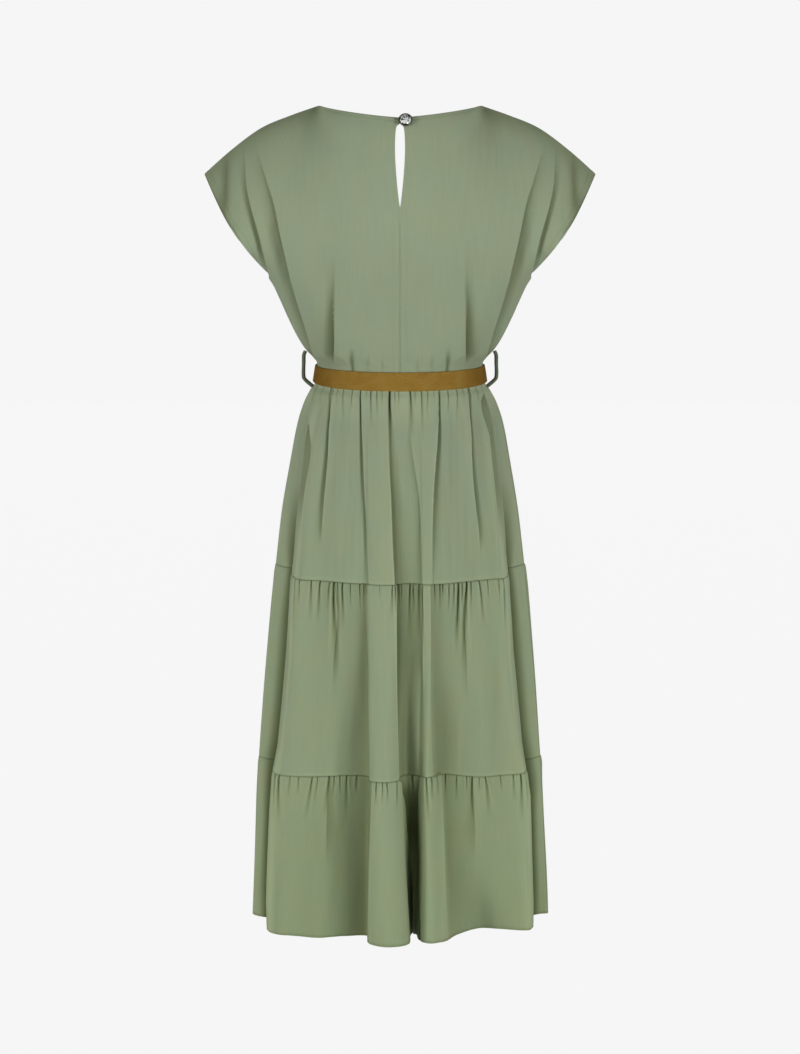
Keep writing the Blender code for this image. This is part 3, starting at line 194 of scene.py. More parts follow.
SEAM2_FRONT_GATHERS = rows_of(Gather, [
    (170, 1.8, 40, 4, 1.9), (160, 2.6, 42, 4, 2.1), (148, 1.8, 26, 3, 1.9), (136, 3.0, 50, 8, 2.3),
    (121, 1.8, 24, 1, 1.8), (108, 2.4, 30, 3, 2.0), (94, 1.8, 24, 0, 1.8), (80, 3.2, 48, 2, 2.3),
    (66, 1.6, 22, 0, 1.8), (44, 1.6, 22, 0, 1.8), (30, 2.4, 28, 0, 1.9), (18, 1.8, 24, 0, 1.7),
    (5, 2.8, 42, 0, 2.0), (-8, 1.8, 24, 0, 1.7), (-30, 1.6, 24, 0, 1.8), (-44, 2.6, 36, -1, 2.0),
    (-57, 1.8, 24, 0, 1.8), (-68, 1.8, 24, 0, 1.8), (-80, 3.2, 48, -4, 2.2), (-97, 1.8, 24, 0, 1.8),
    (-112, 2.4, 30, -3, 2.0), (-128, 1.8, 24, -2, 1.8), (-142, 3.0, 50, -9, 2.2),
    (-155, 1.8, 26, -3, 1.9), (-165, 2.4, 34, -3, 2.0),
])

# Long folds with one sharp side. side is +1 when the high side lies towards +X, height how far that
# side stands, fade how far it runs out and edge the width of the sharp side. Each station down the line
# is (z, x, how deep the low side sinks and how much painted shade it gets, how wide it is); 1 is the
# darkest, and below 0 that side stands out and gets painted light instead.
Step = namedtuple("Step", "name side height fade edge line")
TIER1_BACK_STEPS = rows_of(Step, [
    ("left_rim", 1, 0.4, 18, 2.4, (
        (-350, -114, 0.30, 40), (-368, -116.0, 0.60, 50), (-421, -123.4, 0.56, 54),
        (-500, -135.0, 0.50, 46), (-545, -140.5, 0.1, 30), (-570, -143, 0, 30))),
    ("right_rim", -1, 0.4, 18, 2.4, (
        (-350, 112, 0.30, 40), (-368, 113.2, 0.60, 50), (-421, 122.6, 0.56, 54), (-500, 134.6, 0.50, 46),
        (-545, 140.5, 0.1, 30), (-570, 143, 0, 30))),
    ("left_lap", 1, 2.0, 18, 1.8, (
        (-350, -91, 0.3, 4), (-368, -92.3, 0.58, 5), (-421, -97.6, 0.62, 8), (-500, -104.0, 0.42, 13),
        (-538, -107.0, 0.25, 16), (-565, -109, 0, 16))),
    ("band_left", 1, 1.6, 26, 2.4, (
        (-350, -53, 0.3, 5), (-368, -53, 0.40, 6), (-421, -51.4, 0.50, 12), (-500, -47.6, 0.36, 18),
        (-580, -44.0, 0.24, 14), (-612, -43.0, 0.2, 12))),
    ("band_right", -1, 2.4, 24, 1.8, (
        (-350, -15, 0.3, 4), (-368, -16, 0.52, 5), (-421, -15.4, 0.34, 18), (-500, -12.0, 0.44, 40),
        (-580, -8.8, 0.44, 54), (-612, -7, 0.42, 60))),
    ("recess_end", 1, 1.2, 12, 2.6, (
        (-395, 13, 0, 8), (-421, 15, 0.22, 8), (-500, 26.2, 0.26, 12), (-580, 29.9, 0.26, 22),
        (-612, 31, 0.24, 22))),
    ("narrow_right", -1, 2.0, 14, 1.8, (
        (-350, 54, 0.3, 5), (-368, 53, 0.42, 5), (-421, 51.0, 0.60, 11), (-500, 45.6, 0.40, 20),
        (-545, 44.5, 0.30, 20), (-610, 45, 0.1, 18))),
    ("right_lap", -1, 2.0, 18, 1.8, (
        (-350, 92, 0.3, 4), (-368, 92.4, 0.62, 5), (-421, 97.2, 0.64, 7), (-500, 103, 0.52, 12),
        (-545, 108.5, 0.3, 16), (-575, 111, 0, 16))),
])
TIER2_BACK_STEPS = rows_of(Step, [
    ("band_right", -1, 1.0, 20, 2.0, (
        (-612, -4.8, 0.52, 50), (-663, -4.8, 0.61, 50), (-722, -4.0, 0.68, 50), (-840, -2.4, 0.42, 44),
        (-890, -1.0, 0.40, 38))),
    ("narrow_band", 1, 1.0, 8, 5.0, (
        (-612, 30, 0.28, 44), (-663, 30.5, 0.38, 46), (-722, 31, 0.44, 48), (-840, 33, 0.10, 26),
        (-890, 32, 0.2, 26))),
    ("narrow_end", -1, 1.0, 8, 2.6, (
        (-618, 42, 0.24, 32), (-663, 42.5, 0.26, 34), (-722, 43, 0.22, 34), (-840, 44, 0.16, 44),
        (-890, 46, 0.18, 44))),
    ("right_broad", -1, 0.2, 8, 8.0, (
        (-612, 44, 0.10, 110), (-722, 46, 0.13, 140), (-890, 50, 0.12, 140))),
    ("left_shade", 1, 0.6, 20, 7.0, (
        (-618, -46, 0.16, 34), (-663, -45.5, 0.18, 34), (-722, -43, 0.16, 34), (-840, -43.5, 0.03, 34),
        (-890, -44, 0.02, 34))),
    ("left_broad", 1, 0.2, 12, 9.0, (
        (-618, -46, 0.15, 130), (-722, -44, 0.16, 150), (-840, -43.5, 0.09, 150),
        (-890, -44, 0.05, 130))),
    ("left_fall", -1, 0.8, 14, 2.4, (
        (-612, -91, 0.3, 5), (-646, -86.5, 0.36, 6), (-700, -89.6, 0.30, 8), (-727, -91.5, 0.26, 9),
        (-775, -93, 0, 10))),
    ("right_fall", 1, 0.8, 14, 2.4, (
        (-612, 92.5, 0.3, 5), (-646, 89, 0.36, 6), (-722, 91.6, 0.28, 9), (-780, 93, 0, 10))),
    ("right_crease", 1, 0.6, 12, 2.4, (
        (-612, 81, 0.2, 5), (-663, 79.6, 0.32, 8), (-700, 79, 0, 10))),
])
TIER3_BACK_STEPS = rows_of(Step, [
    ("valley", 1, 0.6, 20, 2.6, (
        (-890, -38.6, 0.34, 50), (-972, -41.8, 0.34, 50), (-1075, -43.6, 0.26, 50),
        (-1123, -43.6, 0.22, 50))),
    ("valley_broad", 1, 0.2, 20, 8.0, (
        (-890, -44, 0.14, 150), (-972, -47, 0.21, 150), (-1123, -48, 0.17, 150))),
    ("right_broad", -1, 0.2, 20, 8.0, (
        (-890, 62, 0.12, 170), (-972, 66, 0.13, 170), (-1123, 72, 0.12, 170))),
    ("tube_edge", -1, 0.6, 20, 1.8, (
        (-890, -1.0, 0.62, 30), (-913, 2.4, 0.69, 28), (-972, 9.8, 0.63, 26), (-1040, 16.5, -0.6, 26),
        (-1075, 20.6, -1.5, 26), (-1123, 22, -1.5, 26))),
    ("recess_wall", 1, 0.4, 10, 1.8, (
        (-890, 28, 0.2, 12), (-913, 26.0, 0.5, 12), (-972, 24.6, 0.80, 16), (-1075, 27.4, 0.40, 12),
        (-1123, 29, 0.3, 12))),
    ("turn_under", -1, 1.0, 24, 6.0, (
        (-892, 58, 0.24, 50), (-972, 62, 0.34, 60), (-1075, 66, 0.22, 60), (-1123, 68, 0.14, 60))),
    ("left_fall", -1, 0.8, 16, 4.0, (
        (-895, -99, 0.3, 8), (-913, -100, 0.40, 10), (-972, -102, 0.28, 20), (-1025, -102, 0, 20))),
    ("right_rise", 1, 1.0, 16, 4.0, (
        (-895, 100, 0.3, 8), (-913, 101, 0.36, 9), (-972, 104, 0.24, 22), (-1025, 105, 0, 20))),
])
# The painted shade in the hollow beside each sharp side edge of the back: how dark it is down the skirt,
# and how wide.
Hollow = namedtuple("Hollow", "z dark wide")
HOLLOWS = rows_of(Hollow, [
    (-344, 0.0, 13), (-490, 0.0, 17), (-550, 0.56, 17), (-580, 0.68, 17), (-612, 0.76, 10),
    (-722, 0.76, 17), (-890, 0.82, 18), (-972, 0.90, 14), (-1123, 0.86, 15),
])
# How far the sharp side edges of the back lie off the large folds, as (z, left, right).
Slide = namedtuple("Slide", "z left right")
TIER1_SLIDES = rows_of(Slide, [
    (-344, 0.0, 0.0), (-421, 0.0, 0.0), (-500, 3.0, -3.0), (-580, 6.0, -6.0), (-612, 4.4, -4.5),
])
TIER2_SLIDES = rows_of(Slide, [
    (-612, 4.4, -4.5), (-677, 5.4, -5.8), (-722, 8.2, -8.6), (-790, 8.4, -8.8), (-850, 6.2, -7.0),
    (-890, 0.0, -1.5),
])
TIER3_SLIDES = rows_of(Slide, [
    (-890, 0.0, -1.5), (-925, -1.0, 1.0), (-1000, -1.2, 0.7), (-1085, -0.8, 0.0), (-1123, 1.5, -2.0),
])
NO_SLIDES = rows_of(Slide, [(-2000, 0.0, 0.0), (0, 0.0, 0.0)])

# ---------------------------------------------------------------- bodice (mm)
Section = namedtuple("Section", "name z half_width back front")
BODICE_SECTIONS = rows_of(Section, [
    ("waist", WAIST_Z, 116.5, 88, 93),
    ("belt_top", -329, 114.8, 86.3, 91.3),
    ("fold_over", -320, 120.6, 88.2, 96),
    ("blouse", -310, 130, 92.6, 102),
    ("lower_ribs", -286, 144.5, 100, 111),
    ("ribs", -258, 157.5, 103.5, 119),
    ("bust", -230, 169.5, 105.5, 124),
    ("underarm", -203, 182, 106, 125),
])
CHEST_SHARE = 0.42                          # the share of a half panel's rows that lies below the underarm
CHEST_RISE = 13.0                           # how much higher such a row ends at the centre
CHEST_POWER = 2.35                          # how square the chest is in plan; 2 is an oval
CHEST_HOLD, CHEST_ROUND = 2.3, 0.85         # how long the cloth stands off on its way up to the shoulder
# The shoulder seam, from the cuff in.
Seam = namedtuple("Seam", "name x z")
SHOULDER = rows_of(Seam, [
    ("tip", -269, -64),
    ("cap", -232, -31.5),
    ("point", -190, -1),
    ("middle", -151, 15.5),
    ("neck", -111, 29.5),
])
NECK_HALF = 111.0
NECK_BACK_Y, NECK_BACK_Z = 64.0, 18.6       # the neck edge at the centre
NECK_FRONT_Y, NECK_FRONT_Z = 112.0, -145.0
SLEEVE_OPEN = 60.0                          # how far each side of the cuff stands off the middle
SLEEVE_BOW, SLEEVE_BOW_ACROSS = 3.4, 0.75   # how far the cuff hangs down, and its share outwards

# A pleat of a bodice half: its line (x, z), how far its inner side stands, the width of the sharp side,
# how far it runs out inwards, how far its outer side sinks and over what reach, its share at the top, and
# how much painted shade lies at the sharp side.
Pleat = namedtuple("Pleat", "name line height rise fade dip reach grow dark")
BACK_PLEATS = rows_of(Pleat, [
    ("underarm_pleat", (
        (-214, -36), (-210, -76), (-202, -108), (-193, -141), (-187, -168), (-179, -198)),
     3.0, 1.5, 16.0, 0.9, 9.0, 0.3, 0.12),
    ("back_pleat", (
        (-196, -30), (-183, -68), (-173, -95), (-160, -155), (-144.5, -211), (-130, -262), (-114, -322)),
     6.5, 2.0, 55.0, 1.0, 20.0, 0.12, 0.55),
    ("low_pleat", (
        (-89, -150), (-89, -304)),
     3.0, 2.4, 26.0, 0.9, 16.0, 0.0, 0.62),
])
FRONT_PLEATS = rows_of(Pleat, [
    ("front_underarm_pleat", (
        (-216, -44), (-206, -92), (-194, -140), (-180, -196)),
     3.6, 2.2, 20.0, 0.6, 9.0, 0.5, 0.2),
    ("front_pleat", (
        (-190, -28), (-168, -100), (-150, -180), (-128, -262), (-114, -322)),
     6.0, 4.0, 50.0, 0.8, 13.0, 0.5, 0.2),
    ("front_low_pleat", (
        (-98, -180), (-96, -334)),
     3.0, 2.4, 24.0, 0.7, 8.0, 0.0, 0.3),
])
# A crease of a bodice half: where it starts, how far it leans in its length, its ends, its depth and half
# width, how far its one side stands, how much painted shade lies in it and over how many mm it dies away at
# its foot.
Crease = namedtuple("Crease", "x lean top bottom depth width high dark tail")
BACK_CREASES = rows_of(Crease, [
    (-66, 2, -290, -334, 2.6, 2.6, 0.3, 0.35, 6),
    (-237, -3, -24, -88, 2.2, 6.0, 0.0, 0.42, 40),
    (-104, 6, -230, -330, 1.0, 15.0, 0.1, 0.14, 6),
    (-44, 0, -300, -334, 1.2, 2.4, 0.2, 0.1, 6),
    (-24, 0, -306, -334, 1.0, 2.4, 0.2, 0.1, 6),
])
FRONT_CREASES = rows_of(Crease, [
    (-76, 2, -286, -334, 2.0, 2.6, 0.3, 0.3, 6),
    (-58, 0, -270, -334, 2.6, 2.8, 0.4, 0.4, 6),
    (-40, 0, -296, -334, 1.8, 2.4, 0.3, 0.3, 6),
    (-26, 0, -286, -334, 2.4, 2.6, 0.3, 0.4, 6),
    (-10, 0, -300, -334, 1.6, 2.4, 0.2, 0.3, 6),
])
SHOULDER_DARK, SHOULDER_REACH = 0.26, 24.0  # painted shade where the cloth turns away from the light by the shoulder seam
KEYHOLE_TOP, KEYHOLE_FOOT = 9.0, -100.0
KEYHOLE_HALF = 6.7                          # half its width where it is widest,
KEYHOLE_RISE = 0.55                         # which lies higher up the smaller this is
KEYHOLE_SHARP, KEYHOLE_ROUND = 0.4, 0.8     # its roundness above and below that
KEYHOLE_HOLD = 9.6                          # how soon the columns beside the keyhole lie straight again


# ---------------------------------------------------------------- small maths
DRIFT_WAVES, DRIFT_SIZE = 9, 0.8
DRIFT_SPREAD = 0.6, 1.6   # each wave's length, as a share of the one asked for
SPREAD_FINE = 6000        # places at which the density is taken


def smooth(t):
    t = np.clip(t, 0.0, 1.0)
    return t * t * (3.0 - 2.0 * t)


def after(value, start, over):
    """0 up to start, then a soft rise to 1 over the next stretch."""
    return smooth((value - start) / over)


def bump(t):
    return np.exp(-(t**2))


def mark(place, at, wide, size):
    """A soft line across the cloth: its size at one place, falling off on both sides."""
    return size * math.exp(-(((place - at) / wide) ** 2))


def groove(run, depth, wide, at=0.0, share=1.0):
    """The same for a whole grid of runs from an edge."""
    return share * depth * bump((run - at) / wide)


def hermite(knots, values, at, even=False):
    """Smooth curve through values, one row for each knot, read at each place in at."""
    knots = np.asarray(knots, float)
    values = np.asarray(values, float).reshape(len(knots), -1)
    steps = np.diff(knots)[:, None]
    slopes = np.diff(values, axis=0) / steps
    tangents = np.empty_like(values)
    tangents[1:-1] = (slopes[:-1] * steps[1:] + slopes[1:] * steps[:-1]) / (steps[:-1] + steps[1:])
    if even:
        both = slopes[:-1] * slopes[1:]
        total = slopes[:-1] + slopes[1:]
        tangents[1:-1] = np.where(both > 0, 2 * both / np.where(np.abs(total) < 1e-12, 1, total), 0)
    tangents[0] = slopes[0]
    tangents[-1] = slopes[-1]
    at = np.atleast_1d(np.asarray(at, float))
    k = np.clip(np.searchsorted(knots, at, side="right") - 1, 0, len(knots) - 2)
    h = (knots[k + 1] - knots[k])[:, None]
    t = ((at - knots[k]) / h[:, 0])[:, None]
    return (
        (1 + 2 * t) * (1 - t) ** 2 * values[k]
        + t * (1 - t) ** 2 * h * tangents[k]
        + t * t * (3 - 2 * t) * values[k + 1]
        + t * t * (t - 1) * h * tangents[k + 1]
    )


def run_along(line):
    """How far along a line of points each of them lies."""
    return np.concatenate([[0], np.cumsum(np.linalg.norm(np.diff(line, axis=0), axis=1))])


def waist_lift(y, z):
    return -y * BELT_RISE * smooth(1 - np.abs(z - WAIST_Z) / WAIST_LIFT_REACH)


def drift(a, b, seed, wide, tall):
    """Soft unevenness from -1 to 1 over places a (wavelength near wide) and b (near tall)."""
    rng = random.Random(seed)
    total = 0.0
    for _ in range(DRIFT_WAVES):
        fa = 2 * math.pi / (wide * rng.uniform(*DRIFT_SPREAD))
        fb = 2 * math.pi / (tall * rng.uniform(*DRIFT_SPREAD)) * rng.choice((-1, 1))
        total = total + np.sin(a * fa + b * fb + rng.uniform(0, 2 * math.pi))
    return total / math.sqrt(DRIFT_WAVES) * DRIFT_SIZE


def spread(lo, hi, centres, count, gain, reach):
    """Count places from lo to hi, denser near each centre."""
    fine = np.linspace(lo, hi, SPREAD_FINE)
    density = np.ones_like(fine)
    for c in centres:
        density = np.maximum(density, 1 + gain * bump((fine - c) / reach))
    total = np.concatenate([[0.0], np.cumsum((density[1:] + density[:-1]) / 2)])
    return np.interp(np.linspace(0, total[-1], count), total, fine)


# ---------------------------------------------------------------- materials
# A layer of unevenness on the flat cloth: its noise across and along the cloth, in waves a metre, the
# noise's detail and roughness, and a ramp that the colour is multiplied by or, in BELT_SLOW, starts from.
Layer = namedtuple("Layer", "across along detail rough stops")
CREPE_SLOW = Layer(22.0, 17.0, 2.0, 0.4, ((0.3, (0.972, 1.0, 1.005)), (0.7, (1.018, 0.99, 0.968))))
CREPE_STREAK = Layer(700.0, 16.0, 2.0, 0.5, ((0.3, 0.975), (0.72, 1.015)))
CREPE_THREAD = Layer(2400.0, 700.0, 1.0, 0.5, ((0.3, 0.94), (0.7, 1.05)))
CREPE_PEBBLE = Layer(1500.0, 900.0, 3.0, 0.6, ())
BELT_FLECK = Layer(900.0, 420.0, 2.0, 0.5, ((0.3, 0.84), (0.7, 1.12)))
BELT_SLOW = Layer(60.0, 60.0, 2.0, 0.5, ((0.3, (0.280, 0.157, 0.022)), (0.7, (0.318, 0.187, 0.033))))
BELT_RIBS = 330.0, 60.0                 # waves a metre along the belt and across it
BELT_RIB_STOPS = (0.1, 0.86), (0.8, 1.06)
BELT_TURN, BELT_END = 0.080, 0.121      # from here out the belt turns away, and painted shade darkens it (m)
BELT_PAINTED_SHADE = (0.56, 0.47, 0.20)
CREPE_UPPER = (0.300, 0.357, 0.231)       # the colour above the first height of CREPE_TURN, a little bluer than below
CREPE_LOW = (0.300, 0.368, 0.211)       # below the second
CREPE_TURN = -0.42, -1.08
CREPE_TALL = 0.03, -1.12                # the heights (m) between which the next ramp lays painted light and shade
CREPE_PAINTED_LIGHT = ((0.06, 1.06), (0.11, 1.05), (0.22, 0.965), (0.40, 0.97), (0.55, 1.0))
CREPE_LIFT = 1.1                        # keeps the ramp's stops at 1 or less
# Painted shade in the folds, darker and warmer, and painted light on ridges and on the bright side of
# folds.
PAINTED_SHADE_TINT = (0.16, 0.17, 0.10)
PAINTED_SHADE_WARMTH = (1.0, 0.99, 0.78)
PAINTED_LIGHT_TINT = (1.30, 1.28, 1.27)
METAL_SCALE, METAL_SPAN = 700.0, (0.8, 1.25)    # its grain in waves a metre, and how dark and light it gets
# The crystal's facets: painted reflections from black to silver, clouded a little.
FACET_SCALE = 260.0
FACET_PAINTED_GLINTS = ((0.0, (0.008, 0.010, 0.009)), (0.5, (0.22, 0.25, 0.22)), (1.0, (0.92, 0.94, 0.91)))
FACET_CLOUD = (0.3, 0.8), (0.7, 1.1)


def new_material(name):
    made = bpy.data.materials.new(name)
    made.use_nodes = True
    tree = made.node_tree
    return made, tree, tree.nodes["Principled BSDF"]


def put(shader, values):
    for key, value in values.items():
        shader.inputs[key].default_value = value


def node(tree, kind, at=None, **settings):
    made = tree.nodes.new(kind)
    for key, value in settings.items():
        setattr(made, key, value)
    put(made, at or {})
    return made


def ramp(tree, source, stops):
    """A colour ramp read at source; each stop is a place and a colour or a grey."""
    made = tree.nodes.new("ShaderNodeValToRGB")
    made.color_ramp.interpolation = "EASE"
    while len(made.color_ramp.elements) < len(stops):
        made.color_ramp.elements.new(0.5)
    for element, (place, colour) in zip(made.color_ramp.elements, stops):
        element.position = place
        element.color = (*(colour if hasattr(colour, "__len__") else (colour,) * 3), 1)
    tree.links.new(source, made.inputs["Fac"])
    return made.outputs["Color"]


def mixed(tree, factor, first, second, blend="MIX"):
    """A colour mix; each of the three is a socket, a colour or, for the factor, a number."""
    made = node(tree, "ShaderNodeMix", data_type="RGBA", blend_type=blend)
    for socket, value in ((0, factor), (6, first), (7, second)):
        if hasattr(value, "links"):
            tree.links.new(value, made.inputs[socket])
        else:
            made.inputs[socket].default_value = value if socket == 0 else (*value, 1)
    return made.outputs[2]


def times(tree, body, other):
    return mixed(tree, 1.0, body, other, "MULTIPLY")


def grain_place(tree, across, along):
    """The place on the flat cloth, which the meshes hold in metres, scaled."""
    source = node(tree, "ShaderNodeAttribute", attribute_name="grain")
    mapping = node(tree, "ShaderNodeMapping", {"Scale": (across, along, 1.0)})
    tree.links.new(source.outputs["Vector"], mapping.inputs["Vector"])
    return mapping.outputs["Vector"]


def object_place(tree, scale):
    source = tree.nodes.new("ShaderNodeTexCoord")
    mapping = node(tree, "ShaderNodeMapping", {"Scale": (scale,) * 3})
    tree.links.new(source.outputs["Object"], mapping.inputs["Vector"])
    return mapping.outputs["Vector"]


def noise(tree, place, detail=2.0, rough=0.5):
    made = node(tree, "ShaderNodeTexNoise", {"Scale": 1.0, "Detail": detail, "Roughness": rough})
    tree.links.new(place, made.inputs["Vector"])
    return made.outputs["Fac"]


def layer_noise(tree, layer):
    return noise(tree, grain_place(tree, layer.across, layer.along), layer.detail, layer.rough)


def layered(tree, body, layer):
    """The colour with a layer of unevenness on it, and that layer's height."""
    height = layer_noise(tree, layer)
    return times(tree, body, ramp(tree, height, layer.stops)), height


def axis_share(tree, axis, near, far):
    """0 up to near and 1 from far on, in metres: along Z, or on both sides of the centre line in X."""
    place = tree.nodes.new("ShaderNodeTexCoord")
    parts = tree.nodes.new("ShaderNodeSeparateXYZ")
    tree.links.new(place.outputs["Object"], parts.inputs[0])
    value = parts.outputs[axis]
    if axis == "X":
        size = node(tree, "ShaderNodeMath", operation="ABSOLUTE")
        tree.links.new(value, size.inputs[0])
        value = size.outputs[0]
    made = node(tree, "ShaderNodeMapRange", {"From Min": near, "From Max": far})
    tree.links.new(value, made.inputs["Value"])
    return made.outputs["Result"]


def bumped(tree, shader, layers):
    """Chains bump layers of (height socket, strength, distance in metres) into the shader."""
    last = None
    for height, strength, distance in layers:
        made = node(tree, "ShaderNodeBump", {"Strength": strength, "Distance": distance})
        tree.links.new(height, made.inputs["Height"])
        if last:
            tree.links.new(last, made.inputs["Normal"])
        last = made.outputs["Normal"]
    tree.links.new(last, shader.inputs["Normal"])


def scaled(colour, factor):
    return tuple(min(1.0, c * factor) for c in colour)


def painted_shade_and_light(tree, body):
    """Painted shade, darker and warmer, deep in the folds, and painted light on ridges and on the bright
    sides of sharp ones.
    """
    for layer_name, tint in (("fold", PAINTED_SHADE_TINT), ("fold", PAINTED_SHADE_WARMTH), ("painted_light", PAINTED_LIGHT_TINT)):
        source = node(tree, "ShaderNodeAttribute", attribute_name=layer_name)
        body = mixed(tree, source.outputs["Fac"], body, times(tree, body, tint))
    return body


def crepe_material(name, shade=1.0):
    """Matt crepe: faint upright grain, small pebble, slow unevenness of colour; painted light and shade by
    height and in the folds.
    """
    made, tree, shader = new_material(name)
    upper_colour, low = (scaled(colour, CREPE_LIFT * shade) for colour in (CREPE_UPPER, CREPE_LOW))
    body = mixed(tree, axis_share(tree, "Z", *CREPE_TURN), upper_colour, low)
    # Painted light and shade by height: lighter at the top, a little darker from the chest to the first
    # seam.
    stops = [(at, value / CREPE_LIFT) for at, value in CREPE_PAINTED_LIGHT]
    body = times(tree, body, ramp(tree, axis_share(tree, "Z", *CREPE_TALL), stops))
    body, _ = layered(tree, body, CREPE_SLOW)
    body, streak = layered(tree, body, CREPE_STREAK)
    body, _ = layered(tree, body, CREPE_THREAD)
    tree.links.new(painted_shade_and_light(tree, body), shader.inputs["Base Color"])
    bumped(tree, shader, ((layer_noise(tree, CREPE_PEBBLE), 0.14, 0.0004), (streak, 0.10, 0.0005)))
    put(shader, {"Roughness": 0.84, "Specular IOR Level": 0.22})
    put(shader, {"Sheen Weight": 0.10, "Sheen Roughness": 0.5})
    return made


def belt_material():
    """Ribbed ochre belting: fine ribs across its length, small flecks, and painted shade where it turns
    away.
    """
    made, tree, shader = new_material("belt_weave_cloth")
    ribs = node(tree, "ShaderNodeTexWave", {"Scale": 1.0, "Distortion": 0.6, "Detail": 1.0},
                bands_direction="X")
    tree.links.new(grain_place(tree, *BELT_RIBS), ribs.inputs["Vector"])
    body = ramp(tree, layer_noise(tree, BELT_SLOW), BELT_SLOW.stops)
    body, fleck = layered(tree, body, BELT_FLECK)
    body = times(tree, body, ramp(tree, ribs.outputs["Fac"], BELT_RIB_STOPS))
    # Painted shade towards the belt's sides, where it turns away from the light.
    body = mixed(tree, axis_share(tree, "X", BELT_TURN, BELT_END), body, times(tree, body, BELT_PAINTED_SHADE))
    tree.links.new(body, shader.inputs["Base Color"])
    bumped(tree, shader, ((ribs.outputs["Fac"], 0.35, 0.0003), (fleck, 0.15, 0.0003)))
    put(shader, {"Roughness": 0.8, "Specular IOR Level": 0.15, "Sheen Weight": 0.02})
    return made


def metal_material(name, colour, roughness):
    """Brushed metal: a fine grain in its colour, its roughness and its surface."""
    made, tree, shader = new_material(name)
    grain = noise(tree, object_place(tree, METAL_SCALE))
    dark, light = (scaled(colour, factor) for factor in METAL_SPAN)
    tree.links.new(ramp(tree, grain, ((0.3, dark), (0.7, light))), shader.inputs["Base Color"])
    rough = node(tree, "ShaderNodeMapRange", {"To Min": roughness - 0.06, "To Max": roughness + 0.1})
    tree.links.new(grain, rough.inputs["Value"])
    tree.links.new(rough.outputs["Result"], shader.inputs["Roughness"])
    bumped(tree, shader, ((grain, 0.08, 0.0002),))
    put(shader, {"Metallic": 0.9})
    return made


def facet_material(name, attribute):
    """Foiled facets, from black to silver: painted reflections, one grey on each."""
    made, tree, shader = new_material(name)
    painted_glint = node(tree, "ShaderNodeAttribute", attribute_name=attribute)
    cloud = noise(tree, object_place(tree, FACET_SCALE))
    body = times(tree, ramp(tree, painted_glint.outputs["Fac"], FACET_PAINTED_GLINTS), ramp(tree, cloud, FACET_CLOUD))
    tree.links.new(body, shader.inputs["Base Color"])
    put(shader, {"Metallic": 0.15, "Roughness": 0.12, "Coat Weight": 1.0, "Coat Roughness": 0.02})
    return made


# ---------------------------------------------------------------- meshes
# Edges sharper than these angles, in degrees, stay sharp.
SHARP_CLOTH, SHARP_TUBE, SHARP_STRIP, SHARP_RIM, SHARP_FACET = 70.0, 50.0, 60.0, 35.0, 1.0
# Painted shade in the folds: how far the cloth beside a point in its row shuts it in.
FOLD_OFFSETS = (1, 2, 3, 4, 5, 7, 9, 12, 16, 21, 27, 34, 42, 52, 64, 78)    # columns
FOLD_REACH, FOLD_FADE = 60.0, 1.4   # how far off cloth still shuts out light, and how steeply that fades
FOLD_NEAR = 0.05                    # points closer than this are left out
FOLD_POWER = 1.9                    # how much darker a fold's painted shade is than its opening alone would make it
CORD_LOBES, CORD_BULGE = 3, 0.12


def placed(name, data):
    """A new object in the scene."""
    obj = bpy.data.objects.new(name, data)
    bpy.context.scene.collection.objects.link(obj)
    return obj


def make_mesh(name, points, quads, triangles=None, flat=None, sharp=SHARP_CLOTH):
    """An object from points in mm, four- and three-sided faces and, for cloth, places on the cut."""
    faces = [np.asarray(quads, np.int32).reshape(-1, 4)]
    if triangles is not None and len(triangles):
        faces.append(np.asarray(triangles, np.int32).reshape(-1, 3))
    mesh = bpy.data.meshes.new(name)
    mesh.vertices.add(len(points))
    mesh.vertices.foreach_set("co", (np.asarray(points) * MM).astype(np.float32).ravel())
    corners = np.concatenate([f.ravel() for f in faces])
    sizes = np.concatenate([np.full(len(f), f.shape[1]) for f in faces])
    mesh.loops.add(len(corners))
    mesh.loops.foreach_set("vertex_index", corners)
    mesh.polygons.add(len(sizes))
    starts = np.concatenate([[0], np.cumsum(sizes)[:-1]])
    mesh.polygons.foreach_set("loop_start", starts.astype(np.int32))
    mesh.update(calc_edges=True)
    mesh.validate()
    mesh.shade_smooth()
    mesh.set_sharp_from_angle(angle=math.radians(sharp))
    if flat is not None:
        layer = mesh.attributes.new("grain", "FLOAT_VECTOR", "POINT")
        place = np.zeros((len(points), 3), np.float32)
        place[:, :2] = np.asarray(flat) * MM
        layer.data.foreach_set("vector", place.ravel())
    return placed(name, mesh)


def signed_volume(points, triangles):
    """Six times the volume that the faces shut in; below 0 when they face inwards."""
    a, b, c = (points[triangles[:, k]] for k in range(3))
    return np.einsum("ij,ij->", a, np.cross(b, c))


def openness(outer, outward):
    """How open each point of a row lies between its neighbours: 1 open, 0 at the foot of a deep fold."""
    x, y = outer[..., 0], outer[..., 1]
    tx, ty = np.gradient(x, axis=1), np.gradient(y, axis=1)
    length = np.maximum(np.hypot(tx, ty), 1e-9)
    nx, ny = ty / length, -tx / length
    if np.mean(nx * outward[0] + ny * outward[1]) < 0:
        nx, ny = -nx, -ny
    columns = np.arange(x.shape[1])
    light = np.zeros_like(x)
    for side in (1, -1):
        horizon = np.zeros_like(x)
        for offset in FOLD_OFFSETS:
            other = np.clip(columns + side * offset, 0, len(columns) - 1)
            dx, dy = x[:, other] - x, y[:, other] - y
            far = np.hypot(dx, dy)
            rise = (dx * nx + dy * ny) / np.maximum(far, 1e-6)
            share = np.clip(FOLD_FADE * (1 - far / FOLD_REACH), 0, 1) * (far > FOLD_NEAR)
            horizon = np.maximum(horizon, rise * share)
        light += np.sqrt(np.clip(1 - horizon**2, 0, 1)) / 2
    return light**FOLD_POWER


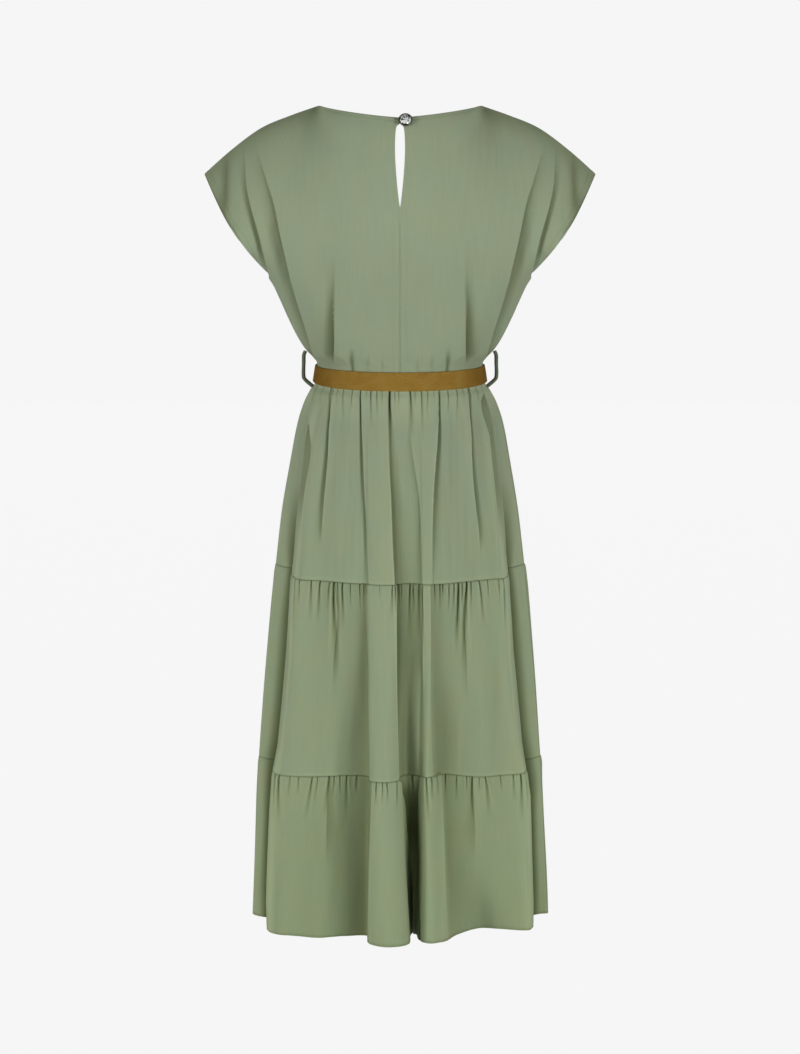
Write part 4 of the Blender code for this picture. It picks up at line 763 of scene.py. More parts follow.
def grid_shell(name, outer, flat, outward, fold, painted_light):
    """A thin closed sheet from a grid of points in mm; the hidden face has half as many each way.

    The last two arguments give each point's painted shade and its painted light, from 0 to 1.
    """
    m, n, _ = outer.shape
    normal = np.cross(np.gradient(outer, axis=1), np.gradient(outer, axis=0))
    normal /= np.maximum(np.linalg.norm(normal, axis=-1), 1e-9)[..., None]
    turned_round = np.dot(normal[m // 2, n // 2], outward) < 0
    if turned_round:
        normal = -normal
    inner = (outer - normal * CLOTH)[::2, ::2]
    fine = np.arange(m * n).reshape(m, n)
    coarse = m * n + np.arange(inner.shape[0] * inner.shape[1]).reshape(inner.shape[:2])

    def cells(index):
        return np.stack([index[:-1, :-1], index[1:, :-1], index[1:, 1:], index[:-1, 1:]], -1).reshape(-1, 4)

    quads = np.concatenate([cells(fine), cells(coarse)[:, ::-1]])
    rims = []
    for edge, back in ((fine[0], coarse[0]), (fine[-1, ::-1], coarse[-1, ::-1]),
                       (fine[::-1, 0], coarse[::-1, 0]), (fine[:, -1], coarse[:, -1])):
        a, b, c = edge[:-2:2], edge[1::2], edge[2::2]
        d, e = back[:-1], back[1:]
        rims += [np.stack(t, -1) for t in ((a, b, d), (b, e, d), (b, c, e))]
    triangles = np.concatenate(rims)
    if turned_round:
        quads, triangles = quads[:, ::-1], triangles[:, ::-1]
    points = np.concatenate([outer.reshape(-1, 3), inner.reshape(-1, 3)])
    places = np.concatenate([flat.reshape(-1, 2), flat[::2, ::2].reshape(-1, 2)])
    hidden = np.zeros(inner.shape[0] * inner.shape[1])
    made = make_mesh(name, points, quads, triangles, places)
    for layer_name, value in (("fold", fold), ("painted_light", painted_light)):
        layer = made.data.attributes.new(layer_name, "FLOAT", "POINT")
        value = np.clip(np.broadcast_to(value, (m, n)), 0, 1).ravel()
        layer.data.foreach_set("value", np.concatenate([value, hidden]).astype(np.float32))
    return made


def tube_mesh(name, rings, closed, flat=None, sharp=SHARP_TUBE):
    """A body from rings of points (steps, sides, 3); closed joins the last ring to the first."""
    rings = np.asarray(rings, float)
    m, n, _ = rings.shape
    index = np.arange(m * n).reshape(m, n)
    following = np.roll(index, -1, axis=0) if closed else index[1:]
    this = index if closed else index[:-1]
    across = np.roll(this, -1, axis=1)
    across_next = np.roll(following, -1, axis=1)
    quads = np.stack([this, across, across_next, following], -1).reshape(-1, 4)
    points = rings.reshape(-1, 3)
    triangles = []
    if not closed:
        ends = np.stack([rings[0].mean(axis=0), rings[-1].mean(axis=0)])
        points = np.concatenate([points, ends])
        for row, middle, turn in ((index[0], m * n, True), (index[-1], m * n + 1, False)):
            fan = np.stack([row, np.roll(row, -1), np.full(n, middle)], -1)
            triangles.append(fan[:, ::-1] if turn else fan)
        triangles = np.concatenate(triangles)
        if flat is not None:
            flat = np.concatenate([np.asarray(flat).reshape(-1, 2), [flat[0][0], flat[-1][0]]])
    if signed_volume(points, quads[:, :3]) + signed_volume(points, quads[:, [0, 2, 3]]) < 0:
        quads = quads[:, ::-1]
        triangles = triangles[:, ::-1] if len(triangles) else triangles
    flat = None if flat is None else np.reshape(flat, (-1, 2))
    return make_mesh(name, points, quads, triangles, flat, sharp)


def swept(path, ups, half_wide, half_thick, sides, closed=False, twist=None):
    """Rings of a rounded section carried along a path; twist, in radians, turns a cord's lobes."""
    path, ups = np.asarray(path, float), np.asarray(ups, float)
    if closed:
        along = np.roll(path, -1, axis=0) - np.roll(path, 1, axis=0)
    else:
        along = np.gradient(path, axis=0)
    along /= np.linalg.norm(along, axis=1)[:, None]
    out = ups - along * np.sum(ups * along, axis=1)[:, None]
    out /= np.linalg.norm(out, axis=1)[:, None]
    wide = np.cross(along, out)
    turn = (2 * math.pi * (np.arange(sides) + 0.5) / sides)[None, :]
    half_wide = np.broadcast_to(half_wide, len(path))[:, None, None]
    half_thick = np.broadcast_to(half_thick, len(path))[:, None, None]
    bulge = 1.0 if twist is None else 1 + CORD_BULGE * np.cos(CORD_LOBES * (turn - twist[:, None]))
    cos, sin = (bulge * np.cos(turn))[..., None], (bulge * np.sin(turn))[..., None]
    return path[:, None] + wide[:, None] * half_wide * cos + out[:, None] * half_thick * sin


def strip_places(width, sides, steps, pitch):
    """Places on the cut for a swept strip: round its section and down its length, in mm."""
    around, down = np.meshgrid(np.linspace(0, width, sides), np.arange(steps) * pitch)
    return np.stack([around, down], axis=-1)


def dress(obj, material, node_names):
    """Gives a piece its material and its place in the frame."""
    obj.data.materials.append(material)
    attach(obj, "root")
    if node_names:
        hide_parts(*node_names)
    return obj


# ---------------------------------------------------------------- skirt form
SIDE_HOLD = 3.0       # how near a side seam the cloth moves straight sideways
PLACE_STEPS = 900     # places tried in seam_place
HANG_Z = -530.0       # below this the side edges of the back hang over the grooves beside them


class Skirt:
    """The ring of large folds; u is the mean run in mm from the left side seam round the back."""

    def __init__(self):
        rows = BACK_FOLDS + FRONT_FOLDS + BACK_FOLDS[:1]
        self.forms = [
            np.array([(r.seam1_x, r.seam1_y) for r in rows], float),
            np.array([(r.seam2_x, r.seam2_y) for r in rows], float),
            np.array([(r.hem_x, r.hem_y) for r in rows], float),
        ]
        runs = [np.hypot(*np.diff(form, axis=0).T) for form in self.forms]
        self.knots = np.concatenate([[0.0], np.cumsum(np.mean(runs, axis=0))])
        self.half = self.knots[len(BACK_FOLDS) - 1]
        self.full = self.knots[-1]
        turned = []
        for i, row in enumerate(rows):
            angle = math.acos(max(-1.0, min(1.0, -row.waist_x / WAIST_HALF_WIDTH)))
            turned.append(angle if i < len(BACK_FOLDS) else 2 * math.pi - angle)
        turned[-1] = 2 * math.pi
        self.angles = np.array(turned)

    def place(self, name):
        """Where a named large fold of the back runs."""
        return self.knots[[f.name for f in BACK_FOLDS].index(name)]

    def ring(self, form, u):
        period = self.full
        knots = np.concatenate([self.knots[-4:-1] - period, self.knots, self.knots[1:4] + period])
        return hermite(knots, np.concatenate([form[-4:-1], form, form[1:4]]), u)

    def waist(self, u):
        angle = np.interp(u, self.knots, self.angles)
        depth = np.where(angle < math.pi, WAIST_BACK, WAIST_FRONT)
        return np.stack([-WAIST_HALF_WIDTH * np.cos(angle), -depth * np.sin(angle)], axis=1)

    def plan(self, u, z):
        """The large form's x and y at a height."""
        u = np.asarray(u, float)
        waist = self.waist(u)
        seam1, seam2, hem = (self.ring(form, u) for form in self.forms)
        if z >= SEAM1_Z:
            share = hermite([f.z for f in FLARES], [f.share for f in FLARES], z, even=True)[0, 0]
            return waist + (seam1 - waist) * share
        above = waist + (seam1 - waist) * FLARES[1].share
        heights = [-FLARES[1].z, -SEAM1_Z, -SEAM2_Z, -HEM_Z]
        stations = np.stack([above, seam1, seam2, hem]).reshape(len(heights), -1)
        return hermite(heights, stations, [-z])[0].reshape(-1, 2)

    def points(self, u, z, offset):
        """Points of the cloth, moved off the large form; at the side seams only sideways."""
        here = self.plan(u, z)
        along = self.plan(u + 1.0, z) - self.plan(u - 1.0, z)
        along /= np.maximum(np.hypot(along[:, 0], along[:, 1]), 1e-9)[:, None]
        normal = np.stack([along[:, 1], -along[:, 0]], axis=1)
        near = [np.exp(-np.abs(u - side) / SIDE_HOLD) for side in (0.0, self.half, self.full)]
        share = np.max(near, axis=0)[:, None]
        sideways = np.stack([np.sign(here[:, 0]), np.zeros(len(u))], axis=1)
        normal = normal * (1 - share) + sideways * share
        moved = here + normal * offset[:, None]
        return np.column_stack([moved, z + waist_lift(moved[:, 1], z)])


SKIRT = Skirt()


def seam_place(x, z, front):
    """Where round the skirt its cloth has this x at this height."""
    if front:
        lo, hi = SKIRT.half, SKIRT.full
    else:
        part = "groove" if z > HANG_Z else "edge"
        lo, hi = SKIRT.place("left_" + part), SKIRT.place("right_" + part)
    u = np.linspace(lo, hi, PLACE_STEPS)
    xs = SKIRT.plan(u, z)[:, 0]
    return float(u[np.argmin(np.abs(xs - x))])


# Under the belt the cloth swells and falls back; start and stretch of each, in mm below the waist. Widths
# of gathers are in half widths of the gather, and depths in shares of its depth.
WAIST_SWELL, SWELL_IN, SWELL_OUT = 1.6, (13, 8), (24, 90)
WAIST_PULL = 6, 8             # from here down gathers and steps show under the belt
PUFF_IN, PUFF_OUT = 4.5, 150  # how fast a gathered tier swells under its seam and falls back
SEAM_EASE, SEAM_STEP = 4.5, 0.4     # a seam's gathers begin over this run; above them the cloth lies in
GATHER_STATIONS = (0.0, 0.25, 0.5, 0.75, 1.0)
GATHER_FADE = 1.15            # how it dies away down its length
GATHER_WANDER, GATHER_WAVE, GATHER_PHASE = 0.4, 17.0, 6.28
GATHER_NARROW, GATHER_SPLAY = 0.42, 0.040   # its half width at the seam, and its growth for each mm down
GATHER_FULL = 3.6             # a gather this deep gets the darkest painted shade
# Painted shade along each gather's line, and painted light on the lips beside it.
GATHER_DARK, DARK_WIDE, DARK_POWER = 0.96, 0.9, 1.6
PAINTED_LIP_AT, PAINTED_LIP_WIDE = 1.9, 0.8
GATHER_SINK, SINK_POWER = 1.15, 1.5
GATHER_TILT, TILT_WIDE = 0.35, 2.2
GATHER_RIDGE, RIDGE_AT, RIDGE_WIDE = 0.30, 2.2, 1.2
STEP_SINK = 5.0               # how far the low side of a wholly dark step sinks
STEP_LEAST = 0.01             # a step is left out where its dark is less than this
# How fully a step stands for its dark, and the painted light along its high edge.
STEP_FULL, STEP_PAINTED_LIGHT = 2, 1.5
STEP_PAINTED_LIGHT_AT, STEP_PAINTED_LIGHT_WIDE = 1.6, 1.8
# Painted light on the high side of each step, by the side seams, beside the back's side edges and under the
# waist.
LIT_SIDE = 0.28               # how light the high side of a step is,
SIDE_LIT, SIDE_LIT_WIDE = 0.36, 14.0    # the cloth by the side seams
EDGE_LIT_IN, EDGE_LIT_WIDE = 9.0, 10.0  # and the back's side edges
TOP_LIT, TOP_LIT_OUT = 0.85, (14, 56)
# Unevenness of the cloth: size in mm, seed, wavelength round and down the skirt.
Drift = namedtuple("Drift", "size seed wide tall")
SEAM_DRIFT, SEAM_DRIFT_FALL, SEAM_DRIFT_LEAST = Drift(0.45, 5, 5.5, 30), 9.0, 0.01
CLOTH_DRIFTS, CALM = (Drift(0.7, 7, 62, 320), Drift(0.2, 9, 21, 170)), 40
# Sewn lines across the cloth, in mm from the edge: where, half width, and how deep, how dark with painted
# shade or how light with painted light.
SEAM_GROOVE, SEAM_DARK = (0.0, 0.9, 1.5), (0.0, 1.0, 0.5)
FOOT_GROOVE, FOOT_DARK, FOOT_LIT = (0.0, 1.4, 0.5), (0.0, 0.8, 0.15), (3.0, 2.0, 0.25)
RIM = 1.7                     # half width of the painted shade along the side seams and the hem
HEM_STITCH, HEM_ROLL, HEM_DARK = (3.4, 1.1, 0.5), (0.0, 1.0, 0.4), (1.6, RIM, 0.26)
# The cloth sinks a little along the side seams, under painted shade.
SIDE_CALM, SIDE_SINK, SIDE_DARK = 7, 0.6, 0.35
HOLLOW_REACH = 34.0           # how far out from the groove the hollow's painted shade reaches
SLIDE_REACH = 22.0            # how much cloth goes with a side edge that lies off its large fold
TUCK = 4.0                    # a lower tier reaches this far up behind the one above
MIDDLE_CLEAR = 0.04           # between the back's cloth and the front's at the sides
DENSE_GAIN, DENSE_REACH = 1.6, 4.0


class Tier:
    """One tier panel: where its gathers and sharp folds put the cloth."""

    def __init__(self, name, top, bottom, front, gathers, steps, slides, seed, puff, stretch=1.0):
        self.name, self.top, self.bottom, self.front = name, top, bottom, front
        self.slides, self.seed, self.puff = slides, seed, puff
        rng = random.Random(seed)
        self.gathers = []
        for g in gathers:
            g = g._replace(length=g.length * stretch)
            line = [seam_place(g.x + g.lean * share, top - g.length * share, front)
                    for share in GATHER_STATIONS]
            self.gathers.append((line, g, rng.uniform(-1, 1), rng.uniform(0, GATHER_PHASE)))
        self.ends = (SKIRT.half, SKIRT.full) if front else (0.0, SKIRT.half)
        self.steps = []
        for s in steps:
            zs, xs, dark, wide = np.array(s.line[::-1], float).T
            us = np.array([seam_place(x, z, front) for x, z in zip(xs, zs)])
            self.steps.append((s, zs, us, dark, wide))

    def relief(self, u, z):
        """How far the cloth lies off the large form, outwards, in mm; how much light its painted shade
        leaves, and its painted light.
        """
        drop = self.top - z
        down = max(drop, 0.0)
        off, light, painted_light, painted_lit = np.zeros(len(u)), np.ones(len(u)), np.zeros(len(u)), np.zeros(len(u))
        waist = self.top == WAIST_Z
        if waist:
            off += WAIST_SWELL * after(drop, *SWELL_IN) * (1 - after(drop, *SWELL_OUT))
            pull = hold = after(drop, *WAIST_PULL)
        else:
            off += self.puff * (1 - math.exp(-down / PUFF_IN)) * (1 - smooth(down / PUFF_OUT))
            pull, hold = smooth(0.5 + drop / SEAM_EASE), 1.0
        for line, g, side, phase in self.gathers:
            if drop >= g.length:
                continue
            share = down / g.length
            fade = (1 - share) ** GATHER_FADE * pull
            wander = GATHER_WANDER * math.sin(drop / GATHER_WAVE + phase)
            centre = np.interp(share, GATHER_STATIONS, line) + wander
            d = (u - centre) / (GATHER_NARROW * g.width + GATHER_SPLAY * down)
            strength = fade * min(1.0, math.sqrt(g.depth / GATHER_FULL))
            # Painted shade along the gather's line and painted light on its lips.
            light *= 1 - GATHER_DARK * strength * np.exp(-np.abs(d / DARK_WIDE) ** DARK_POWER)
            painted_light = np.maximum(painted_light, strength * bump((np.abs(d) - PAINTED_LIP_AT) / PAINTED_LIP_WIDE))
            off -= GATHER_SINK * g.depth * fade * np.exp(-np.abs(d) ** SINK_POWER)
            off += GATHER_TILT * side * g.depth * fade * d * bump(d / TILT_WIDE)
            off += GATHER_RIDGE * g.depth * fade * bump((np.abs(d) - RIDGE_AT) / RIDGE_WIDE)
        for s, zs, us, darks, wides in self.steps:
            dark, wide = np.interp(z, zs, darks), np.interp(z, zs, wides)
            if abs(dark) < STEP_LEAST:
                continue
            line = hermite(zs, us, np.clip(z, zs[0], zs[-1]))[0, 0]
            side = (u - line) * s.side
            high = smooth(side / s.edge + 0.5)
            low = (1 - high) * (1 - smooth(-side / wide))
            full = min(1.0, STEP_FULL * dark)
            away = np.exp(-np.maximum(side, 0) / s.fade)
            off += hold * (s.height * full * high * away - STEP_SINK * dark * low)
            # Painted shade on the low side of the step, painted light on its high side.
            light *= 1 - dark * low
            ridge = bump((side - STEP_PAINTED_LIGHT_AT) / STEP_PAINTED_LIGHT_WIDE)
            painted_light = np.maximum(painted_light, min(1.0, STEP_PAINTED_LIGHT * dark) * ridge * high)
            painted_lit = painted_lit + LIT_SIDE * full * high * away
        near = 0.0 if waist else math.exp(-down / SEAM_DRIFT_FALL)
        if near > SEAM_DRIFT_LEAST:
            off += self.drifting(SEAM_DRIFT, near, u, drop)
        for d in CLOTH_DRIFTS:
            off += self.drifting(d, smooth(down / CALM), u, drop)
        # Grooves and painted shade along the seam above, the foot's seam and the hem; painted light just
        # above the foot.
        if not waist:
            off -= mark(down, *SEAM_GROOVE) + (1 - pull) * SEAM_STEP
            light *= 1 - mark(down, *SEAM_DARK)
        foot = z - self.bottom
        if self.bottom > HEM_Z:
            off -= mark(foot, *FOOT_GROOVE)
            light *= 1 - mark(foot, *FOOT_DARK)
            painted_lit = painted_lit + mark(foot, *FOOT_LIT)
        else:
            off -= mark(foot, *HEM_STITCH)
            off -= mark(foot, *HEM_ROLL)
            light *= 1 - mark(foot, *HEM_DARK)
        lo, hi = self.ends
        off *= smooth((u - lo) / SIDE_CALM) * smooth((hi - u) / SIDE_CALM)
        seam = bump((u - lo) / RIM) + bump((hi - u) / RIM)
        if waist:
            painted_lit = np.maximum(painted_lit, TOP_LIT * (1 - after(drop, *TOP_LIT_OUT)))
        return off - SIDE_SINK * seam, light * (1 - SIDE_DARK * seam), np.maximum(painted_light, painted_lit) * light

    def drifting(self, d, share, u, drop):
        return d.size * share * drift(u, drop, self.seed + d.seed, d.wide, d.tall)

    def build(self, columns, drops):
        """The panel's grid of points and their places on the cut; keeps its painted shade and painted
        light.
        """
        lo, hi = self.ends
        centres = [g[0][0] for g in self.gathers] + [float(step[2].mean()) for step in self.steps]
        u = spread(lo, hi, centres + [lo, hi], columns, DENSE_GAIN, DENSE_REACH)
        sign = 1 if self.front else -1
        heights = [-s.z for s in self.slides]
        rows, plain, lights, painted_lights = [], [], [], []
        for drop in drops:
            z = self.top - drop
            relief, light, painted_light = self.relief(u, z)
            for kind, offset in ((rows, relief), (plain, np.zeros_like(u))):
                points = SKIRT.points(u, z, offset)
                for k, edge in ((1, "left_edge"), (2, "right_edge")):
                    shift = np.interp(-z, heights, [s[k] for s in self.slides])
                    points[:, 0] += shift * bump((u - SKIRT.place(edge)) / SLIDE_REACH)
                points[:, 1] = np.maximum(points[:, 1] * sign, MIDDLE_CLEAR) * sign
                kind.append(points)
            # Painted shade in the back's side hollows and painted light by its side edges.
            if not self.front:
                light = light * self.painted_hollow_shade(u, plain[-1][:, 0], z)
                painted_light = np.maximum(painted_light, self.painted_edge_light(u))
            lights.append(light)
            painted_lights.append(painted_light)
        outer = np.array(rows)
        # Painted shade: how shut in each point of the plain form lies, darkened further by the gathers,
        # steps and seams.
        self.fold = np.clip(1 - openness(np.array(plain), (0, sign, 0)) * np.array(lights), 0, 1)
        self.painted_light = np.array(painted_lights)
        run = run_along(outer[-1])
        return outer, np.array([np.column_stack([run, np.full(len(u), -d)]) for d in drops])

    def painted_hollow_shade(self, u, x, z):
        """Painted shade on the inner flank of each side fold, shut in beside the sharp edge of the back."""
        light = np.ones_like(u)
        heights = [-h.z for h in HOLLOWS]
        dark, wide = (np.interp(-z, heights, [h[k] for h in HOLLOWS]) for k in (1, 2))
        for side_name, sign in (("left", 1), ("right", -1)):
            groove_at, turn = SKIRT.place(side_name + "_groove"), SKIRT.place(side_name + "_turn")
            edge = np.min(sign * x[(u > min(groove_at, turn)) & (u < max(groove_at, turn))])
            inside = smooth(1 - (u - groove_at) * sign / HOLLOW_REACH)
            light *= 1 - dark * inside * (1 - smooth((edge - sign * x) / wide))
        return light

    # Painted light on the cloth by the side seams and beside the back's side edges.
    def painted_edge_light(self, u):
        left, right = (SKIRT.place(name) for name in ("left_edge", "right_edge"))
        sides = bump(u / SIDE_LIT_WIDE) + bump((SKIRT.half - u) / SIDE_LIT_WIDE)
        edges = [bump((run - EDGE_LIT_IN) / EDGE_LIT_WIDE) for run in (u - left, right - u)]
        return edges[0] + edges[1] + SIDE_LIT * sides


# Rows down a tier lie close together under the seam, down to the first of these drops, and at its foot.
ROWS_NEAR, ROWS_MIDDLE = 9, 60
FOOT_RUN, FOOT_ROWS = 10, 9


def tier_drops(height, tuck, near, middle, far):
    """How far below its seam each row of a tier lies; always an odd number of rows."""
    drops = np.concatenate([
        [-tuck, -tuck / 2] if tuck else [],
        np.linspace(0, ROWS_NEAR, near),
        np.linspace(ROWS_NEAR, ROWS_MIDDLE, middle)[1:],
        np.linspace(ROWS_MIDDLE, height - FOOT_RUN, far)[1:],
        np.linspace(height - FOOT_RUN, height, FOOT_ROWS)[1:],
    ])
    return drops if len(drops) % 2 else np.insert(drops, -4, (drops[-4] + drops[-5]) / 2)


# ---------------------------------------------------------------- bodice form
NECK_UNDER = 0.5                        # the neck edge ends this far under the neck corners
NECK_FRONT_ROUND, NECK_FRONT_POWER = 2.4, 1.06
NECK_BACK_ROUND, NECK_BACK_POWER = 0.6, 1.2
SOFT_FROM, SOFT_OVER = -176, 40         # from the first place on inwards the upper edge is averaged
SOFT_SIDE, SOFT_BELL = 4, 2.6
SOFTEN_FRONT = 3.0, 9.0, 0.3            # mm each way at the edge, mm more below it, over this share
SOFTEN_BACK = 5.0, 50.0, 0.25
PLEAT_WANDER, PLEAT_WAVE = 0.7, 19.0
PLEAT_END, PLEAT_START = 22.0, 2.4      # how far past its ends a pleat dies away; slower at its top
PLEAT_FOOT = 0.7                        # the share of its reach over which its outer side sinks
PLEAT_DIM_AT, PLEAT_DIM_RISE = 0.4, 1.5
PLEAT_LEAST = 0.3                       # the share of its reach that is left at its ends
CREASE_START, CREASE_POWER, CREASE_TILT = 0.6, 1.6, 2.4


def shoulder_z(x):
    return hermite([s.x for s in SHOULDER], [s.z for s in SHOULDER], x)[:, 0]


def top_edge(x, front):
    """The upper edge's y and z: the neck between the neck corners, the shoulder seam beyond."""
    share = np.clip(np.abs(x) / NECK_HALF, 0.0, 1.0)
    on_neck = np.abs(x) < NECK_HALF
    if front:
        y = NECK_FRONT_Y * (1 - share**NECK_FRONT_ROUND)
        z = NECK_FRONT_Z + (NECK_Z - NECK_UNDER - NECK_FRONT_Z) * share**NECK_FRONT_POWER
    else:
        y = -NECK_BACK_Y * (1 - share**2) ** NECK_BACK_ROUND
        z = NECK_BACK_Z + (NECK_Z - NECK_UNDER - NECK_BACK_Z) * share**NECK_BACK_POWER
    return np.where(on_neck, y, 0.0), np.where(on_neck, z, shoulder_z(np.minimum(x, -NECK_HALF)))


def top_line(x, front, soften):
    """The upper edge's y and z, averaged over soften mm each way."""
    y, z, total = 0.0, 0.0, 0.0
    width = soften * after(x, SOFT_FROM, SOFT_OVER)
    for k in range(-SOFT_SIDE, SOFT_SIDE + 1):
        weight = math.exp(-((k / SOFT_BELL) ** 2))
        at_y, at_z = top_edge(x + width * k / SOFT_SIDE, front)
        y, z, total = y + weight * at_y, z + weight * at_z, total + weight
    return y / total, z / total


def bodice_base(u, v, front):
    """Left half panel without folds. u: 0 side edge, 1 centre; v: 0 waist, 1 top."""
    turn = u * math.pi / 2
    low = np.clip(v / CHEST_SHARE, 0, 1)
    power = 2 + (CHEST_POWER - 2) * low**2
    across = -np.cos(turn) ** (2 / power)
    back = np.sin(turn) ** (2 / power)
    side_z = WAIST_Z + (BODICE_SECTIONS[-1].z - WAIST_Z) * low
    sizes = hermite(
        [s.z for s in BODICE_SECTIONS],
        [(s.half_width, s.back, s.front) for s in BODICE_SECTIONS],
        side_z,
        even=True,
    )
    depth = sizes[:, 2] if front else -sizes[:, 1]
    x = sizes[:, 0] * across
    y = depth * back
    z = side_z + CHEST_RISE * low * u * u
    t = np.clip((v - CHEST_SHARE) / (1 - CHEST_SHARE), 0, 1)
    reach = SHOULDER[0].x / -BODICE_SECTIONS[-1].half_width
    top_x = x * (1 + (reach - 1) * (x / BODICE_SECTIONS[-1].half_width) ** 2)
    least, more, over = SOFTEN_FRONT if front else SOFTEN_BACK
    top_y, top_z = top_line(top_x, front, least + more * smooth((1 - t) / over))
    bow = SLEEVE_BOW * np.sin(math.pi * t) * (1 - u) ** 3
    opening = SLEEVE_OPEN * np.sin(math.pi * t) * (1 - u) ** 4
    hold = (1 - t**CHEST_HOLD) ** CHEST_ROUND
    up_x = x + (top_x - x) * t - bow * SLEEVE_BOW_ACROSS
    up_y = top_y + (y - top_y) * hold + (opening if front else -opening)
    up_z = z + (top_z - z) * t - bow
    high = v > CHEST_SHARE
    return np.stack([np.where(high, up_x, x), np.where(high, up_y, y), np.where(high, up_z, z)], axis=-1)


def pleat_relief(x, z, pleats, creases, phase):
    """How far the pleats and creases stand off the panel, in mm, and how much light their painted shade
    leaves.
    """
    off, light = np.zeros_like(x), np.ones_like(x)
    for p in pleats:
        line = np.array(p.line, float)
        order = np.argsort(line[:, 1])
        top, bottom = line[:, 1].max(), line[:, 1].min()
        middle = hermite(line[order, 1], line[order, 0], np.clip(z, bottom, top).ravel())[:, 0]
        side = x - middle.reshape(x.shape) + PLEAT_WANDER * np.sin(z / PLEAT_WAVE + phase)
        ends = smooth((top + PLEAT_END - z) / (PLEAT_START * PLEAT_END))
        ends = ends * smooth((z - bottom + PLEAT_END) / PLEAT_END)
        grow = p.grow + (1 - p.grow) * smooth((top - z) / (top - bottom))
        shape = smooth(side / p.rise + 0.5) * np.exp(-np.maximum(side, 0) / p.fade)
        low, dim = smooth(0.5 - side / p.rise), smooth(PLEAT_DIM_AT - side / (PLEAT_DIM_RISE * p.rise))
        shape -= p.dip * low * smooth((side + p.reach) / (PLEAT_FOOT * p.reach))
        off += p.height * ends * grow * shape
        reach = p.reach * (PLEAT_LEAST + (1 - PLEAT_LEAST) * ends)
        light *= 1 - p.dark * ends * grow * dim * smooth((side + reach) / reach)
    for c in creases:
        span = c.top - c.bottom
        down = np.clip((c.top - z) / span, 0, 1)
        ends = smooth((c.top - z) / (CREASE_START * span)) * smooth((z - c.bottom) / c.tail + 1)
        d = (x - c.x - c.lean * down) / c.width
        trough = np.exp(-np.abs(d) ** CREASE_POWER)
        off -= c.depth * ends * trough
        light *= 1 - c.dark * ends * trough
        off += c.depth * c.high * ends * d * bump(d / CREASE_TILT)
    return off, light


def keyhole_half(z):
    """Half the keyhole's width at a height, widest above its middle."""
    down = np.clip((KEYHOLE_TOP - z) / (KEYHOLE_TOP - KEYHOLE_FOOT), 0, 1)
    turn = np.sin(math.pi * down**KEYHOLE_RISE)
    widest = 0.5 ** (1 / KEYHOLE_RISE)
    return KEYHOLE_HALF * np.where(down < widest, turn**KEYHOLE_SHARP, turn**KEYHOLE_ROUND)


Bodice = namedtuple("Bodice", "outer flat fold us from_top")
# Where a half panel's columns (0 side, 1 centre) and rows (0 waist, 1 top) lie closer together.
Dense = namedtuple("Dense", "centres gain reach")
FRONT_COLUMNS = Dense((0.02, 0.07, 0.13, 0.19, 0.25, 0.31, 0.37), 1.3, 0.05)
BACK_COLUMNS = Dense((0.02, 0.08, 0.15, 0.22, 0.29, 0.36, 0.45, 0.51, 0.57, 0.995), 1.5, 0.05)
BODICE_ROWS = Dense((1.0, 0.42, 0.05, 0.15), 2.0, 0.02)
FORM_STEP = 0.003             # the step in u and v over which the panel's slope is taken
TOP_SHARE, SIDE_SHARE = 0.9995, 1e-6    # rows and columns past these belong to the top and side edges
CORNER_NEAR = 0.5             # how far from the neck corner the shoulder seam begins
BODICE_DRIFTS = Drift(0.7, 40, 75, 210), Drift(0.18, 42, 22, 120)
BACK_PHASE, FRONT_PHASE = 1, 3
TOP_CALM, CUFF_CALM = 14, 9   # folds fade out over this run from the top and from the cuff
BELT_HOLD, BELT_FREE, BELT_FREE_IN = 0.5, 9.0, (-2, 46)     # how far folds may stand above the belt
BELT_FLAT_IN = -7, 9
NECK_END_IN, NECK_END_OVER = 4, 6
SLEEVE_FROM, SLEEVE_OVER = 0.01, 0.02
SLIT_END_UNDER, SLIT_END_OVER = 4, 8
# Sewn lines along a panel's edges, in mm: depth, half width and how far in from the edge.
NECK_LINES = (0.5, 0.9), (0.34, 0.8, 6.0)
CUFF_LINES = (0.5, 0.9), (0.3, 0.9, 9.0)
SLIT_LINES = (0.5, 0.9), (0.32, 0.8, 5.0)
SHOULDER_SEAM, SIDE_SEAM, CENTRE_SEAM = (0.7, 1.0), (0.6, 1.0), (0.9, 1.0)
CENTRE_RAISED, CENTRE_RAISED_IN, CENTRE_RAISED_OUT = 0.5, (1.0, 1.5), (9.0, 1.6)


def edge_runs(points):
    """How far each point of a grid lies from its last row, over the cloth, and from its first column."""
    down = np.cumsum(np.linalg.norm(np.diff(points[::-1], axis=0), axis=-1), axis=0)
    across = np.cumsum(np.linalg.norm(np.diff(points, axis=1), axis=-1), axis=1)
    rows, columns = points.shape[:2]
    return (np.concatenate([np.zeros((1, columns)), down])[::-1],
            np.concatenate([np.zeros((rows, 1)), across], axis=1))


